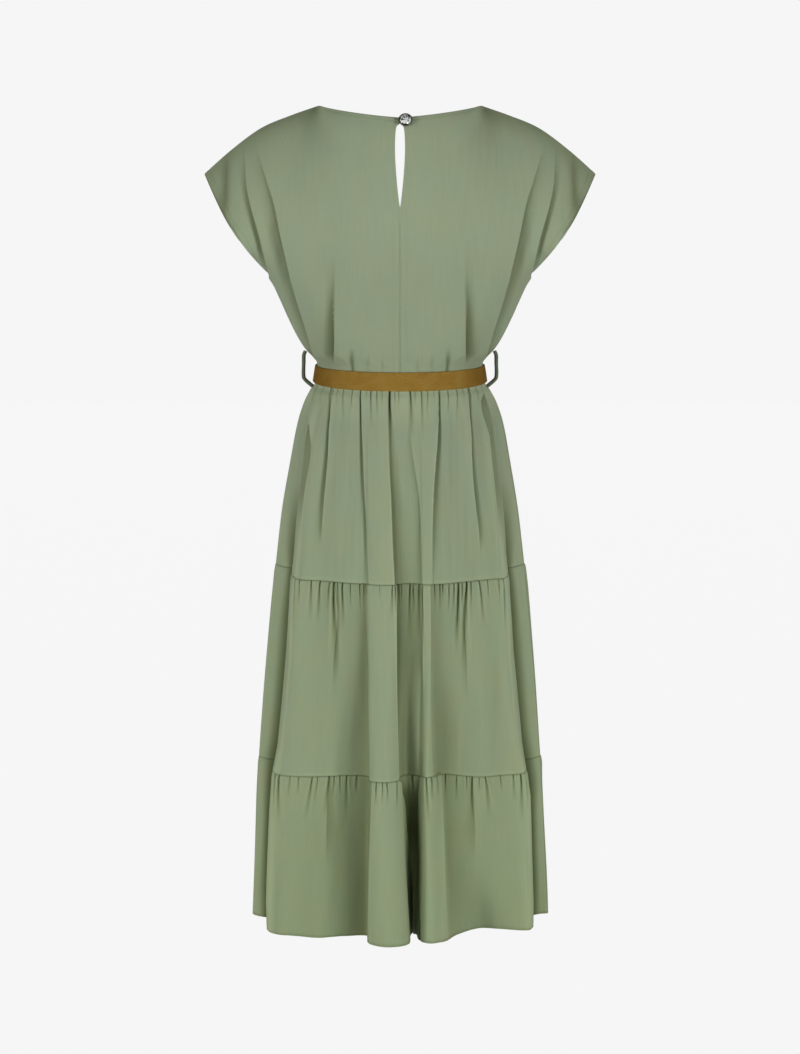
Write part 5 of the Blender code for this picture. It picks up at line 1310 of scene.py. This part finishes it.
def bodice_half(columns, rows, front):
    """The left half panel: its points (rows, columns, 3), places on the cut and runs from its top."""
    pleats, creases = (FRONT_PLEATS, FRONT_CREASES) if front else (BACK_PLEATS, BACK_CREASES)
    dense = FRONT_COLUMNS if front else BACK_COLUMNS
    us = spread(0, 1, dense.centres, columns, dense.gain, dense.reach)
    vs = spread(0, 1, BODICE_ROWS.centres, rows, BODICE_ROWS.gain, BODICE_ROWS.reach)
    u, v = np.meshgrid(us, vs)

    def base(a, b):
        return bodice_base(np.clip(a, 0, 1).ravel(), np.clip(b, 0, 1).ravel(), front).reshape(*a.shape, 3)

    here = base(u, v)
    along = base(u + FORM_STEP, v) - base(u - FORM_STEP, v)
    up = base(u, v + FORM_STEP) - base(u, v - FORM_STEP)
    normal = np.cross(along, up)
    if front:
        normal = -normal
    # At the seams and at the waist the cloth moves only within the plane that its neighbour shares.
    normal[:, -1, 0] = 0.0
    side = (u <= SIDE_SHARE) & (v <= CHEST_SHARE)
    seam = side | ((v >= TOP_SHARE) & (here[..., 0] < -NECK_HALF + CORNER_NEAR))
    normal[..., 1] = np.where(seam, 0.0, normal[..., 1])
    normal[0, :, 2] = 0.0
    normal /= np.maximum(np.linalg.norm(normal, axis=-1), 1e-9)[..., None]
    from_top, from_side = edge_runs(here)
    from_centre = from_side[:, -1:] - from_side
    x, z = here[..., 0], here[..., 2]
    relief, light = pleat_relief(x, z, pleats, creases, FRONT_PHASE if front else BACK_PHASE)
    for d in BODICE_DRIFTS:
        relief += d.size * drift(x, z, d.seed + front, d.wide, d.tall)
    relief *= smooth(from_top / TOP_CALM) * smooth(from_side / CUFF_CALM)
    relief = np.minimum(relief, BELT_HOLD + BELT_FREE * after(z - BELT_TOP, *BELT_FREE_IN))
    relief *= after(z - BELT_TOP, *BELT_FLAT_IN)
    on_neck = smooth((NECK_HALF + NECK_END_IN + x) / NECK_END_OVER)
    relief -= on_neck * sum(groove(from_top, *line) for line in NECK_LINES)
    relief -= groove(from_top, *SHOULDER_SEAM, share=1 - on_neck)
    sleeve = smooth((v - CHEST_SHARE - SLEEVE_FROM) / SLEEVE_OVER)
    relief -= sleeve * sum(groove(from_side, *line) for line in CUFF_LINES)
    relief -= groove(from_side, *SIDE_SEAM, share=1 - sleeve)
    if not front:
        slit = smooth((z - KEYHOLE_FOOT + SLIT_END_UNDER) / SLIT_END_OVER)
        relief -= slit * sum(groove(from_centre, *line) for line in SLIT_LINES)
        end, over = CENTRE_RAISED_OUT
        shape = after(from_centre, *CENTRE_RAISED_IN) * smooth((end - from_centre) / over)
        raised = CENTRE_RAISED * shape
        relief += (1 - slit) * (raised - groove(from_centre, *CENTRE_SEAM))
    outer = here + normal * relief[..., None]
    outer[0, :, 2] = WAIST_Z + GAP / 2
    outer[..., 2] += waist_lift(outer[..., 1], outer[..., 2])
    flat = np.stack([-from_centre, -from_top], axis=-1)
    # Painted shade at the shoulder top, in the pleats and creases, and where the cloth shuts a point in.
    light *= 1 - SHOULDER_DARK * (1 - on_neck) * bump(from_top / SHOULDER_REACH)
    fold = 1 - openness(outer, (0, 1 if front else -1, 0)) * light
    return Bodice(outer, flat, fold, us, from_top)


def mirrored(points):
    points = np.array(points)
    points[..., 0] *= -1
    return points


def both_halves(left, right):
    """One grid from a left half and its mirror image, which share the middle column."""
    return np.concatenate([left, right[:, ::-1][:, 1:]], axis=1)


# ---------------------------------------------------------------- build the cloth
QUALITY = 1.0
BACK_GRID, FRONT_GRID = (244, 184), (170, 112)      # columns and rows of a bodice half
# Columns of a tier, its rows down to ROWS_NEAR, from there to ROWS_MIDDLE, and from there down.
TIER_BACK_GRID, TIER_FRONT_GRID = (760, 10, 24, 30), (400, 6, 16, 22)
DEEPEST = 0.92                                      # no painted shade of a tier grows darker than this
# How much darker than the crepe the belt loops, the button's cord and the sewing thread are; the loops'
# darkness is partly their own colour, partly painted shade.
LOOP_DARK_AND_SHADE, CORD_SHADE, THREAD_SHADE = 0.46, 0.72, 0.55


def q(count):
    """The number of rows or columns at this quality; always odd."""
    return int(count * QUALITY / 2) * 2 + 1


crepe = crepe_material("crepe_cloth")
# The belt loops' crepe: partly their own darker colour, partly painted shade.
loop_crepe_dark_and_shaded = crepe_material("crepe_loops_dark_and_shaded", LOOP_DARK_AND_SHADE)
belting = belt_material()
dark_metal = metal_material("dark_metal_brushed", (0.17, 0.19, 0.15), 0.34)


def cloth(name, points, flat, side, fold, painted_light, replaced):
    """A sheet of crepe whose shown face looks to +Y or -Y, as side says."""
    made = grid_shell(name, points, flat, (0, side, 0), fold, painted_light)
    dress(made, crepe, [replaced])


back = bodice_half(*(q(count) for count in BACK_GRID), False)
points = back.outer
points[..., 1] = np.minimum(points[..., 1], -MIDDLE_CLEAR)
push = np.maximum(keyhole_half(points[:, -1, 2]), MIDDLE_CLEAR)[:, None]
points[..., 0] -= push * (back.us[None, :] ** KEYHOLE_HOLD)
cloth("cloth_back_left", points, back.flat, -1, back.fold, 0.0, "bodice_back_left")
cloth("cloth_back_right", mirrored(points), mirrored(back.flat), -1, back.fold, 0.0, "bodice_back_right")

fore = bodice_half(*(q(count) for count in FRONT_GRID), True)
points = fore.outer
points[..., 1] = np.maximum(points[..., 1], MIDDLE_CLEAR)
points[:, -1, 0] = 0.0
whole = both_halves(points, mirrored(points))
cut = both_halves(fore.flat, mirrored(fore.flat))
cloth("cloth_front", whole, cut, 1, both_halves(fore.fold, fore.fold), 0.0, "bodice_front")

UPPER, MIDDLE, LOWER = (WAIST_Z, SEAM1_Z), (SEAM1_Z, SEAM2_Z), (SEAM2_Z, HEM_Z)
PLAIN = (), NO_SLIDES
TIERS = (    # name, from and to, on the front, gathers, steps, slides, seed, puff, gathers' stretch
    Tier("tier1_back", *UPPER, False, WAIST_BACK_GATHERS, TIER1_BACK_STEPS, TIER1_SLIDES, 11, 0.0),
    Tier("tier1_front", *UPPER, True, WAIST_FRONT_GATHERS, *PLAIN, 12, 0.0),
    Tier("tier2_back", *MIDDLE, False, SEAM1_BACK_GATHERS, TIER2_BACK_STEPS, TIER2_SLIDES, 21, 1.2, 1.2),
    Tier("tier2_front", *MIDDLE, True, SEAM1_FRONT_GATHERS, *PLAIN, 22, 2.0),
    Tier("tier3_back", *LOWER, False, SEAM2_BACK_GATHERS, TIER3_BACK_STEPS, TIER3_SLIDES, 31, 1.2, 1.4),
    Tier("tier3_front", *LOWER, True, SEAM2_FRONT_GATHERS, *PLAIN, 32, 2.0),
)
for tier in TIERS:
    columns, near, middle, far = TIER_FRONT_GRID if tier.front else TIER_BACK_GRID
    tuck = 0 if tier.top == WAIST_Z else TUCK
    drops = tier_drops(tier.top - tier.bottom, tuck, near, q(middle), q(far))
    outer, flat = tier.build(q(columns), drops)
    fold = np.minimum(tier.fold, DEEPEST)
    cloth(f"cloth_{tier.name}", outer, flat, 1 if tier.front else -1, fold, tier.painted_light, tier.name)

# ---------------------------------------------------------------- belt, buckle and loops
FRONT_CENTRE = 1.5 * math.pi
BELT_MIDDLE = (BELT_TOP + BELT_BOTTOM) / 2
BELT_STEPS, BELT_END_STEPS, EDGE_ARC = 400, 90, 7
BELT_RUN = 103.0                        # mm of belt for each radian round the waist
SIDE_LIFT_POWER = 1.5
# The firm selvedge in from each of the belt's edges, as (how far in, how far sunk).
SELVEDGE = (1.5, 0.0), (2.0, 0.28), (2.6, 0.1), (6.0, 0.02)
BELT_END_START, BELT_END_SPAN = 0.05, 0.92          # radians from the front's centre
BELT_END_INSET = 0.8
BELT_END_ROUND, BELT_END_TIP = 9.0, 0.55
BUCKLE_HALF_WIDE, BUCKLE_HALF_TALL = 17.0, 19.0
BUCKLE_BAR, BUCKLE_SQUARE = 1.6, 0.45
BUCKLE_TURNS, BUCKLE_STEPS, BAR_SIDES = 129, 145, 16
PRONG_R, PRONG_STEPS, PRONG_STEEP = 1.3, 40, 1.5
PRONG_TIP, PRONG_TIP_RUN, PRONG_HEEL, PRONG_HEEL_RUN, PRONG_LEAST = 0.86, 0.16, 0.04, 0.05, 0.05
KEEPER_PLACE, KEEPER_THICK, KEEPER_HALF_WIDE, KEEPER_REST = 0.36, 1.6, 3.5, 0.6
KEEPER_SQUARE = 0.35, 0.6               # how square its section is across and through
KEEPER_RUN, KEEPER_PITCH = 109.0, 0.8
KEEPER_SIDES, KEEPER_STEPS, KEEPER_SOFTER = 25, 15, 3
LOOP_HALF_WIDE, LOOP_HALF_THICK = 3.0, 2.4
LOOP_STEPS, LOOP_SIDES, LOOP_GIRTH, LOOP_PITCH = 90, 20, 16, 0.65
LOOP_WAVES = (0.05, 0, 17), (0.03, 1, 41)           # uneven width: size, and the wave from and to
LOOP_FULL, LOOP_THIN = 1.12, 0.5
BELT_LOOP = ((-311.0, 131.2), (-317.0, 133.4), (-327.0, 133.6), (-344.0, 134.0), (-351.0, 131.8),
             (-361.6, 119.8))           # height, and how far out its middle line lies


def belt_point(angle, z, out):
    """A point of the belt's inner face moved out. angle 0 is the left side, pi/2 the centre back."""
    angle, z, out = np.broadcast_arrays(angle, z, out)
    clear = BELT_CLEAR + BELT_FLARE * (WAIST_Z - z) + out
    deep = np.where(np.sin(angle) >= 0, WAIST_BACK, WAIST_FRONT) + clear
    x, y = -(WAIST_HALF_WIDTH + clear) * np.cos(angle), -deep * np.sin(angle)
    low = (BELT_TOP - z) / (BELT_TOP - BELT_BOTTOM)
    side = (1 - np.abs(np.sin(angle))) ** SIDE_LIFT_POWER
    side_lift = side * (BELT_SIDE_LIFT + (BELT_SIDE_NARROW * low))
    return np.stack([x, y, z - y * BELT_RISE + side_lift], axis=-1)


def belt_section(low, high, inside, thick):
    """The belt's outline as (z, out): rounded edges, and a firmer selvedge in from each."""
    outside = inside + thick
    r = thick / 2
    outline = [(low + r * (1 - math.cos(a)), inside + r * (1 - math.sin(a)))
               for a in np.linspace(math.pi / 2, -math.pi / 2, EDGE_ARC)]
    outline += [(low + place, outside - depth) for place, depth in SELVEDGE]
    outline.append(((low + high) / 2, outside))
    mirror = [(low + high - z, out) for z, out in outline[::-1]]
    return np.array(outline + mirror[1:])


def belt_strip(name, start, stop, steps, section, closed, rounded=0.0):
    """A stretch of belting; rounded narrows its two ends over that many mm."""
    angles = np.linspace(start, stop, steps + 1)
    angles = angles[:-1] if closed else angles
    middle = section[:, 0].mean()
    rings, flat = [], []
    for a in angles:
        z, out = section[:, 0].copy(), section[:, 1]
        if rounded:
            to_end = min(a - start, stop - a) * WAIST_FRONT / rounded
            share = math.sqrt(min(1.0, 2 * to_end - min(1.0, to_end) ** 2))
            z = middle + (z - middle) * (BELT_END_TIP + (1 - BELT_END_TIP) * share)
        rings.append(belt_point(a, z, out))
        flat.append(np.column_stack([np.full(len(z), a * BELT_RUN), z]))
    return tube_mesh(name, rings, closed, np.array(flat), SHARP_STRIP)


def superellipse(turn, power_cos, power_sin):
    """Cosine and sine with their corners drawn out."""
    cos, sin = np.cos(turn), np.sin(turn)
    return np.sign(cos) * np.abs(cos) ** power_cos, np.sign(sin) * np.abs(sin) ** power_sin


def facing(way, path):
    """The same upward direction for every point of a path."""
    return np.tile(way, (len(path), 1))


section = belt_section(BELT_BOTTOM, BELT_TOP - BELT_SLACK, 0.0, BELT_THICK)
made = belt_strip("belt_band", 0, 2 * math.pi, BELT_STEPS, section, True)
dress(made, belting, ["belt"])
lift = BELT_THICK + GAP
section = belt_section(BELT_BOTTOM + BELT_END_INSET, BELT_TOP - BELT_END_INSET, lift, BELT_THICK)
made = belt_strip("belt_free_end", FRONT_CENTRE + BELT_END_START, FRONT_CENTRE + BELT_END_SPAN,
                  BELT_END_STEPS, section, False, BELT_END_ROUND)
dress(made, belting, ["belt_end"])

cos, sin = superellipse(np.linspace(0, 2 * math.pi, BUCKLE_TURNS)[:-1], BUCKLE_SQUARE, BUCKLE_SQUARE)
across, tall = cos * BUCKLE_HALF_WIDE, sin * BUCKLE_HALF_TALL
frame_out = lift + BELT_THICK + GAP + BUCKLE_BAR
path = belt_point(FRONT_CENTRE + across / WAIST_FRONT, BELT_MIDDLE + tall, frame_out)
run = run_along(np.vstack([path, path[:1]]))
spots = np.linspace(0, run[-1], BUCKLE_STEPS)[:-1]
path = np.stack([np.interp(spots, run, np.append(path[:, k], path[0, k])) for k in range(3)], axis=1)
rings = swept(path, facing((0.0, 1.0, 0.0), path), BUCKLE_BAR, BUCKLE_BAR, BAR_SIDES, True)
dress(tube_mesh("buckle_frame", rings, True), dark_metal, ["belt_buckle_frame"])

root = -BUCKLE_HALF_WIDE + 2 * BUCKLE_BAR + GAP
reach = 2 * (BUCKLE_HALF_WIDE - BUCKLE_BAR) + PRONG_R
share = np.linspace(0, 1, PRONG_STEPS)
path = belt_point(FRONT_CENTRE + (root + reach * share) / WAIST_FRONT, BELT_MIDDLE,
                  frame_out + (2 * BUCKLE_BAR + GAP) * smooth(PRONG_STEEP * share))
taper = PRONG_R
for past, over in ((share - PRONG_TIP, PRONG_TIP_RUN), (PRONG_HEEL - share, PRONG_HEEL_RUN)):
    taper = taper * np.sqrt(np.clip(1 - (np.maximum(past, 0) / over) ** 2, PRONG_LEAST, 1))
rings = swept(path, facing((0.0, 1.0, 0.0), path), taper, taper, BAR_SIDES)
dress(tube_mesh("buckle_prong", rings, False), dark_metal, ["belt_buckle_prong"])

clear = 2 * GAP
high, low, over = BELT_TOP + clear, BELT_BOTTOM - clear, lift + BELT_THICK + clear
loop = np.array([(low, KEEPER_REST), (low, over), (high, over), (high, KEEPER_REST)])
centres = []
for (z0, o0), (z1, o1) in zip(loop, loop[1:]):
    centres += [(z0 + (z1 - z0) * t, o0 + (o1 - o0) * t) for t in np.linspace(0, 1, KEEPER_STEPS)[:-1]]
centres = np.array(centres + [tuple(loop[-1])])
for _ in range(KEEPER_SOFTER):
    centres[1:-1] = (centres[:-2] + 2 * centres[1:-1] + centres[2:]) / 4
ahead = np.gradient(centres, axis=0)
ahead /= np.linalg.norm(ahead, axis=1)[:, None]
outward = np.stack([-ahead[:, 1], ahead[:, 0]], axis=1)
half = KEEPER_THICK / 2
wide, thick = superellipse(np.linspace(0, 2 * math.pi, KEEPER_SIDES)[:-1], *KEEPER_SQUARE)
angles = FRONT_CENTRE + KEEPER_PLACE + wide * KEEPER_HALF_WIDE / KEEPER_RUN
rings, flat = [], []
for k, (spot, out) in enumerate(zip(centres + outward * half, outward)):
    z, away = (spot[axis] + out[axis] * half * thick for axis in range(2))
    rings.append(belt_point(angles, z, away))
    flat.append([(w * KEEPER_HALF_WIDE, k * KEEPER_PITCH) for w in wide])
made = tube_mesh("belt_keeper_strap", rings, False, np.array(flat))
dress(made, belting, ["belt_keeper"])

for side_name, sign in (("left", -1), ("right", 1)):
    path = [(sign * x, 0.0, z) for z, x in BELT_LOOP]
    path = hermite(np.arange(len(path)), path, np.linspace(0, len(path) - 1, LOOP_STEPS))
    ahead = np.gradient(path, axis=0)
    ups = np.stack([-sign * ahead[:, 2], np.zeros(len(path)), sign * ahead[:, 0]], axis=1)
    uneven = 1
    for size, start, stop in LOOP_WAVES:
        uneven = uneven + size * np.sin(np.linspace(start, stop, len(path)))
    half_thick = LOOP_HALF_THICK * (LOOP_FULL - LOOP_THIN * (uneven - 1))
    rings = swept(path, ups, LOOP_HALF_WIDE * uneven, half_thick, LOOP_SIDES)
    places = strip_places(LOOP_GIRTH, LOOP_SIDES, len(path), LOOP_PITCH)
    made = tube_mesh(f"loop_{side_name}_cloth", rings, False, places)
    dress(made, loop_crepe_dark_and_shaded, [f"belt_loop_{side_name}"])

# ---------------------------------------------------------------- button and cord loop
BUTTON = np.array((7.4, -66.9, 13.4))
BUTTON_TILT = math.radians(33.8)
RIM_R, CRYSTAL_R, SHANK_R, CORD_R = 9.6, 7.9, 3.0, 1.0
RIM_SIDES, CRYSTAL_SIDES = 72, 12
# Outlines turned about the button's axis, as (radius, height), from the back to the front.
RIM_OUTSIDE = (-1.2, 0.0), (-0.3, 0.3), (0.0, 1.0), (0.0, 2.0), (-0.25, 2.7), (-0.9, 3.1)   # from RIM_R
RIM_INSIDE = (1.1, 3.2), (0.4, 2.9), (0.1, 2.2), (-0.9, 1.0)                        # from CRYSTAL_R
CROWN = (CRYSTAL_R - 1.5, 0.0), (CRYSTAL_R, 2.3), (CRYSTAL_R * 0.80, 3.5), (CRYSTAL_R * 0.46, 4.2)
CROWN_TOP = 4.35
FACET_GLINT_GREYS = (0.05, 1.0, 0.9, 0.4, 1.0, 0.7, 0.03, 1.0, 0.55, 0.95)
FACET_SEED, FACET_STRIDE, FACET_JUMP = 5, 7, 3
CORD_TURN, CORD_TURN_STEP = 115, 10                 # degrees to each side round the shank
CORD_END_X, CORD_END_SPACE = -5.5, 3.2
CORD_TAIL, CORD_TAIL_SPACE = 1.2, 0.9
CORD_UP = 0.0, -1.0, 0.3
CORD_STEPS, CORD_SIDES, CORD_TWIST, CORD_GIRTH, CORD_PITCH = 150, 12, 60, 6, 0.3


def on_button(x, up, height):
    """A place by the button: across, up its tilted face, and out from the cloth."""
    y = -height * math.cos(BUTTON_TILT) + up * math.sin(BUTTON_TILT)
    z = up * math.cos(BUTTON_TILT) + height * math.sin(BUTTON_TILT)
    return BUTTON + np.stack(np.broadcast_arrays(x, y, z), axis=-1)


def turned(profile, sides, phase=0.0):
    """Rings of (radius, height) about the button's axis."""
    a = 2 * math.pi * (np.arange(sides) + phase) / sides
    return np.array([on_button(r * np.cos(a), r * np.sin(a), h) for r, h in profile])


base = CORD_R * 2 + 2 * GAP
profile = [(SHANK_R, 0.0), (SHANK_R, base)]
profile += [(RIM_R + r, base + h) for r, h in RIM_OUTSIDE]
profile += [(CRYSTAL_R + r, base + h) for r, h in RIM_INSIDE]
made = tube_mesh("button_rim_turned", turned(profile, RIM_SIDES), False, None, SHARP_RIM)
dress(made, dark_metal, ["button_rim"])

seat = base + RIM_INSIDE[-1][1] + GAP
rings = [turned([(r, seat + h)], CRYSTAL_SIDES, 0.5 * (k % 2))[0] for k, (r, h) in enumerate(CROWN)]
points = np.concatenate(rings + [[on_button(0, 0, seat)], [on_button(0, 0, seat + CROWN_TOP)]])
foot, tip = len(points) - 2, len(points) - 1
facets = []
for k in range(len(CROWN) - 1):
    for s in range(CRYSTAL_SIDES):
        t = (s + 1) % CRYSTAL_SIDES
        a, b, c, d = (row * CRYSTAL_SIDES + side for row in (k, k + 1) for side in (s, t))
        facets += [(a, b, c), (b, d, c)] if k % 2 == 0 else [(a, b, d), (a, d, c)]
last = foot - CRYSTAL_SIDES
for s in range(CRYSTAL_SIDES):
    t = (s + 1) % CRYSTAL_SIDES
    facets += [(s, foot, t), (last + s, last + t, tip)]
facets = np.array(facets)
if signed_volume(points, facets) < 0:
    facets = facets[:, ::-1]
crystal = make_mesh("button_crystal_facets", points, np.zeros((0, 4), int), facets, None, SHARP_FACET)
crystal.data.shade_flat()
# Each facet gets its own painted reflection, from black to silver.
painted_glints = crystal.data.attributes.new("painted_glint", "FLOAT", "FACE")
rng = random.Random(FACET_SEED)
glint_greys = [FACET_GLINT_GREYS[(k * FACET_STRIDE + rng.randrange(FACET_JUMP)) % len(FACET_GLINT_GREYS)]
         for k in range(len(facets))]
painted_glints.data.foreach_set("value", glint_greys)
dress(crystal, facet_material("faceted_crystal", "painted_glint"), ["button_crystal"])

round_r = SHANK_R + CORD_R + GAP
end_x = CORD_END_X - BUTTON[0]
tail_x = CORD_END_X - CORD_TAIL - BUTTON[0]
spots = [(tail_x, CORD_END_SPACE * CORD_TAIL_SPACE), (end_x, CORD_END_SPACE)]
for degrees in range(CORD_TURN, -CORD_TURN - 1, -CORD_TURN_STEP):
    spots.append((round_r * math.cos(math.radians(degrees)), round_r * math.sin(math.radians(degrees))))
spots += [(end_x, -CORD_END_SPACE), (tail_x, -CORD_END_SPACE * CORD_TAIL_SPACE)]
path = np.array([on_button(x, up, CORD_R) for x, up in spots])
path = hermite(np.arange(len(path)), path, np.linspace(0, len(path) - 1, CORD_STEPS))
twist = np.linspace(0, CORD_TWIST, len(path))
rings = swept(path, facing(CORD_UP, path), CORD_R, CORD_R, CORD_SIDES, False, twist)
made = tube_mesh("button_cord", rings, False, strip_places(CORD_GIRTH, CORD_SIDES, len(path), CORD_PITCH))
dress(made, crepe_material("crepe_cord", CORD_SHADE), ["button_loop"])

# ---------------------------------------------------------------- stitches
STITCH_PITCH, STITCH_LENGTH, STITCH_R, STITCH_SIDES = 3.1, 2.1, 0.24, 6
STITCH_OUT, STITCH_AHEAD = 0.1, 0.8
# A stitch's sections along it: place and thickness as shares, and height in mm; its ends are sunk.
STITCH = (-0.5, 0.25, -0.30), (-0.36, 0.85, 0.0), (0.0, 1.0, 0.16), (0.36, 0.85, 0.0), (0.5, 0.25, -0.30)
STITCH_DOWN = 6.0                       # from the neck edge
STITCH_FROM = 0.01                      # past the neck corner, as a share of the columns
BACK_STITCH_TO, FRONT_STITCH_TO = 0.975, 0.995


def at_depth(panel, depth, lo, hi):
    """A line of points this far below a panel's upper edge, between two columns' shares."""
    first, last = int(lo * (len(panel.us) - 1)), int(hi * (len(panel.us) - 1))
    line = []
    for j in range(first, last + 1):
        runs = panel.from_top[::-1, j]
        line.append([np.interp(depth, runs, panel.outer[::-1, j, k]) for k in range(3)])
    return np.array(line)


def stitched(name, lines, outward):
    """Short sunk threads along lines of points on the cloth."""
    points, quads, ends = [], [], []
    for line in lines:
        run = run_along(line)
        for place in np.arange(STITCH_PITCH, run[-1] - STITCH_PITCH / 2, STITCH_PITCH):
            here, further = (np.array([np.interp(at, run, line[:, k]) for k in range(3)])
                             for at in (place, place + STITCH_AHEAD))
            along = (further - here) / max(np.linalg.norm(further - here), 1e-9)
            out = np.asarray(outward, float) - along * np.dot(outward, along)
            out /= np.linalg.norm(out)
            wide = np.cross(along, out)
            start = len(points)
            for at, size, height in STITCH:
                middle = here + along * at * STITCH_LENGTH
                for s in range(STITCH_SIDES):
                    a = 2 * math.pi * s / STITCH_SIDES
                    rise = height + STITCH_R * size * math.sin(a) + STITCH_OUT
                    points.append(middle + out * rise + wide * STITCH_R * size * math.cos(a))
            for k in range(len(STITCH) - 1):
                for s in range(STITCH_SIDES):
                    t = (s + 1) % STITCH_SIDES
                    a, b = start + k * STITCH_SIDES, start + (k + 1) * STITCH_SIDES
                    quads.append((a + s, a + t, b + t, b + s))
            last = start + (len(STITCH) - 1) * STITCH_SIDES
            for s in range(1, STITCH_SIDES - 1):
                ends += [(start, start + s + 1, start + s), (last, last + s, last + s + 1)]
    points, quads, ends = np.array(points), np.array(quads), np.array(ends)
    volume = sum(signed_volume(points, part) for part in (quads[:, :3], quads[:, [0, 2, 3]], ends))
    if volume < 0:
        quads, ends = quads[:, ::-1], ends[:, ::-1]
    return make_mesh(name, points, quads, ends, points[:, [0, 2]], SHARP_STRIP)


def neck_stitches(name, panel, to, outward):
    """Stitches along the neck of a panel and of its mirror image."""
    corner = float(np.interp(-NECK_HALF, panel.outer[-1, :, 0], np.linspace(0, 1, len(panel.us))))
    line = at_depth(panel, STITCH_DOWN, corner + STITCH_FROM, to)
    return dress(stitched(name, [line, mirrored(line)], outward), thread, [])


thread = crepe_material("sewing_thread", THREAD_SHADE)
back_stitches = neck_stitches("neck_stitches_back", back, BACK_STITCH_TO, (0, -1, 0.3))
front_stitches = neck_stitches("neck_stitches_front", fore, FRONT_STITCH_TO, (0, 1, 0.3))

# ---------------------------------------------------------------- camera, light and floor (m)
CAMERA_AT, CAMERA_TO, CAMERA_LENS, CAMERA_SENSOR = (0, -5.2, 0.48), (0, 0, -0.56), 129.36, 36
LIGHT_TO = (0, 0, -0.5)
LIGHTS = (    # name, place, width and height, power
    ("key_back_left", (-4.8, -4.0, -0.3), (2.4, 3.2), 236),
    ("key_back_right", (4.8, -4.0, -0.3), (2.4, 3.2), 236),
    ("key_front", (0, 6.2, -0.7), (3.0, 3.0), 240),
)
PAPER = 0.922                           # the even grey behind the dress
AROUND = 0.14                           # strength of the light from all sides
FLOOR_Z, FLOOR_R, FLOOR_SIDES, FLOOR_GLOW = -1.42, 60, 64, 0.997


def point_at(obj, target):
    direction = mathutils.Vector(target) - obj.location
    obj.rotation_euler = direction.to_track_quat("-Z", "Y").to_euler()


def seen_and_cast(tree, output, seen, cast):
    """The camera sees one shader; light that falls on the object comes from the other."""
    path = tree.nodes.new("ShaderNodeLightPath")
    mix = tree.nodes.new("ShaderNodeMixShader")
    tree.links.new(path.outputs["Is Camera Ray"], mix.inputs[0])
    tree.links.new(cast, mix.inputs[1])
    tree.links.new(seen, mix.inputs[2])
    tree.links.new(mix.outputs[0], tree.nodes[output].inputs["Surface"])


camera_data = bpy.data.cameras.new("camera")
camera_data.sensor_width = CAMERA_SENSOR
camera_data.lens = CAMERA_LENS
camera = placed("camera", camera_data)
camera.location = CAMERA_AT
point_at(camera, CAMERA_TO)
bpy.context.scene.camera = camera

for name, place, size, power in LIGHTS:
    data = bpy.data.lights.new(name, "AREA")
    data.shape = "RECTANGLE"
    data.size, data.size_y = size
    data.energy = power
    light = placed(name, data)
    light.location = place
    point_at(light, LIGHT_TO)
    light.visible_camera = False

world = bpy.data.worlds.new("studio")
bpy.context.scene.world = world
world.use_nodes = True
tree = world.node_tree
background = tree.nodes["Background"]
put(background, {"Color": (1, 1, 1, 1), "Strength": AROUND})
seen = node(tree, "ShaderNodeBackground", {"Color": (PAPER, PAPER, PAPER, 1), "Strength": 1.0})
seen_and_cast(tree, "World Output", seen.outputs[0], background.outputs[0])

floor_mesh = bpy.data.meshes.new("floor")
turns = np.linspace(0, 2 * math.pi, FLOOR_SIDES + 1)[:-1]
ring = [(FLOOR_R * math.cos(a), FLOOR_R * math.sin(a), FLOOR_Z) for a in turns]
floor_mesh.from_pydata(ring, [], [tuple(range(FLOOR_SIDES))])
floor = placed("floor", floor_mesh)
floor_material, tree, shader = new_material("pale_floor")
put(shader, {"Base Color": (0.8, 0.8, 0.8, 1), "Roughness": 0.9, "Specular IOR Level": 0.1})
glow = node(tree, "ShaderNodeEmission", {"Color": (PAPER, PAPER, PAPER, 1)})
blend = node(tree, "ShaderNodeMixShader", {0: FLOOR_GLOW})
tree.links.new(shader.outputs[0], blend.inputs[1])
tree.links.new(glow.outputs[0], blend.inputs[2])
seen_and_cast(tree, "Material Output", blend.outputs[0], shader.outputs[0])
floor_mesh.materials.append(floor_material)

bpy.context.scene.view_settings.view_transform = "Standard"
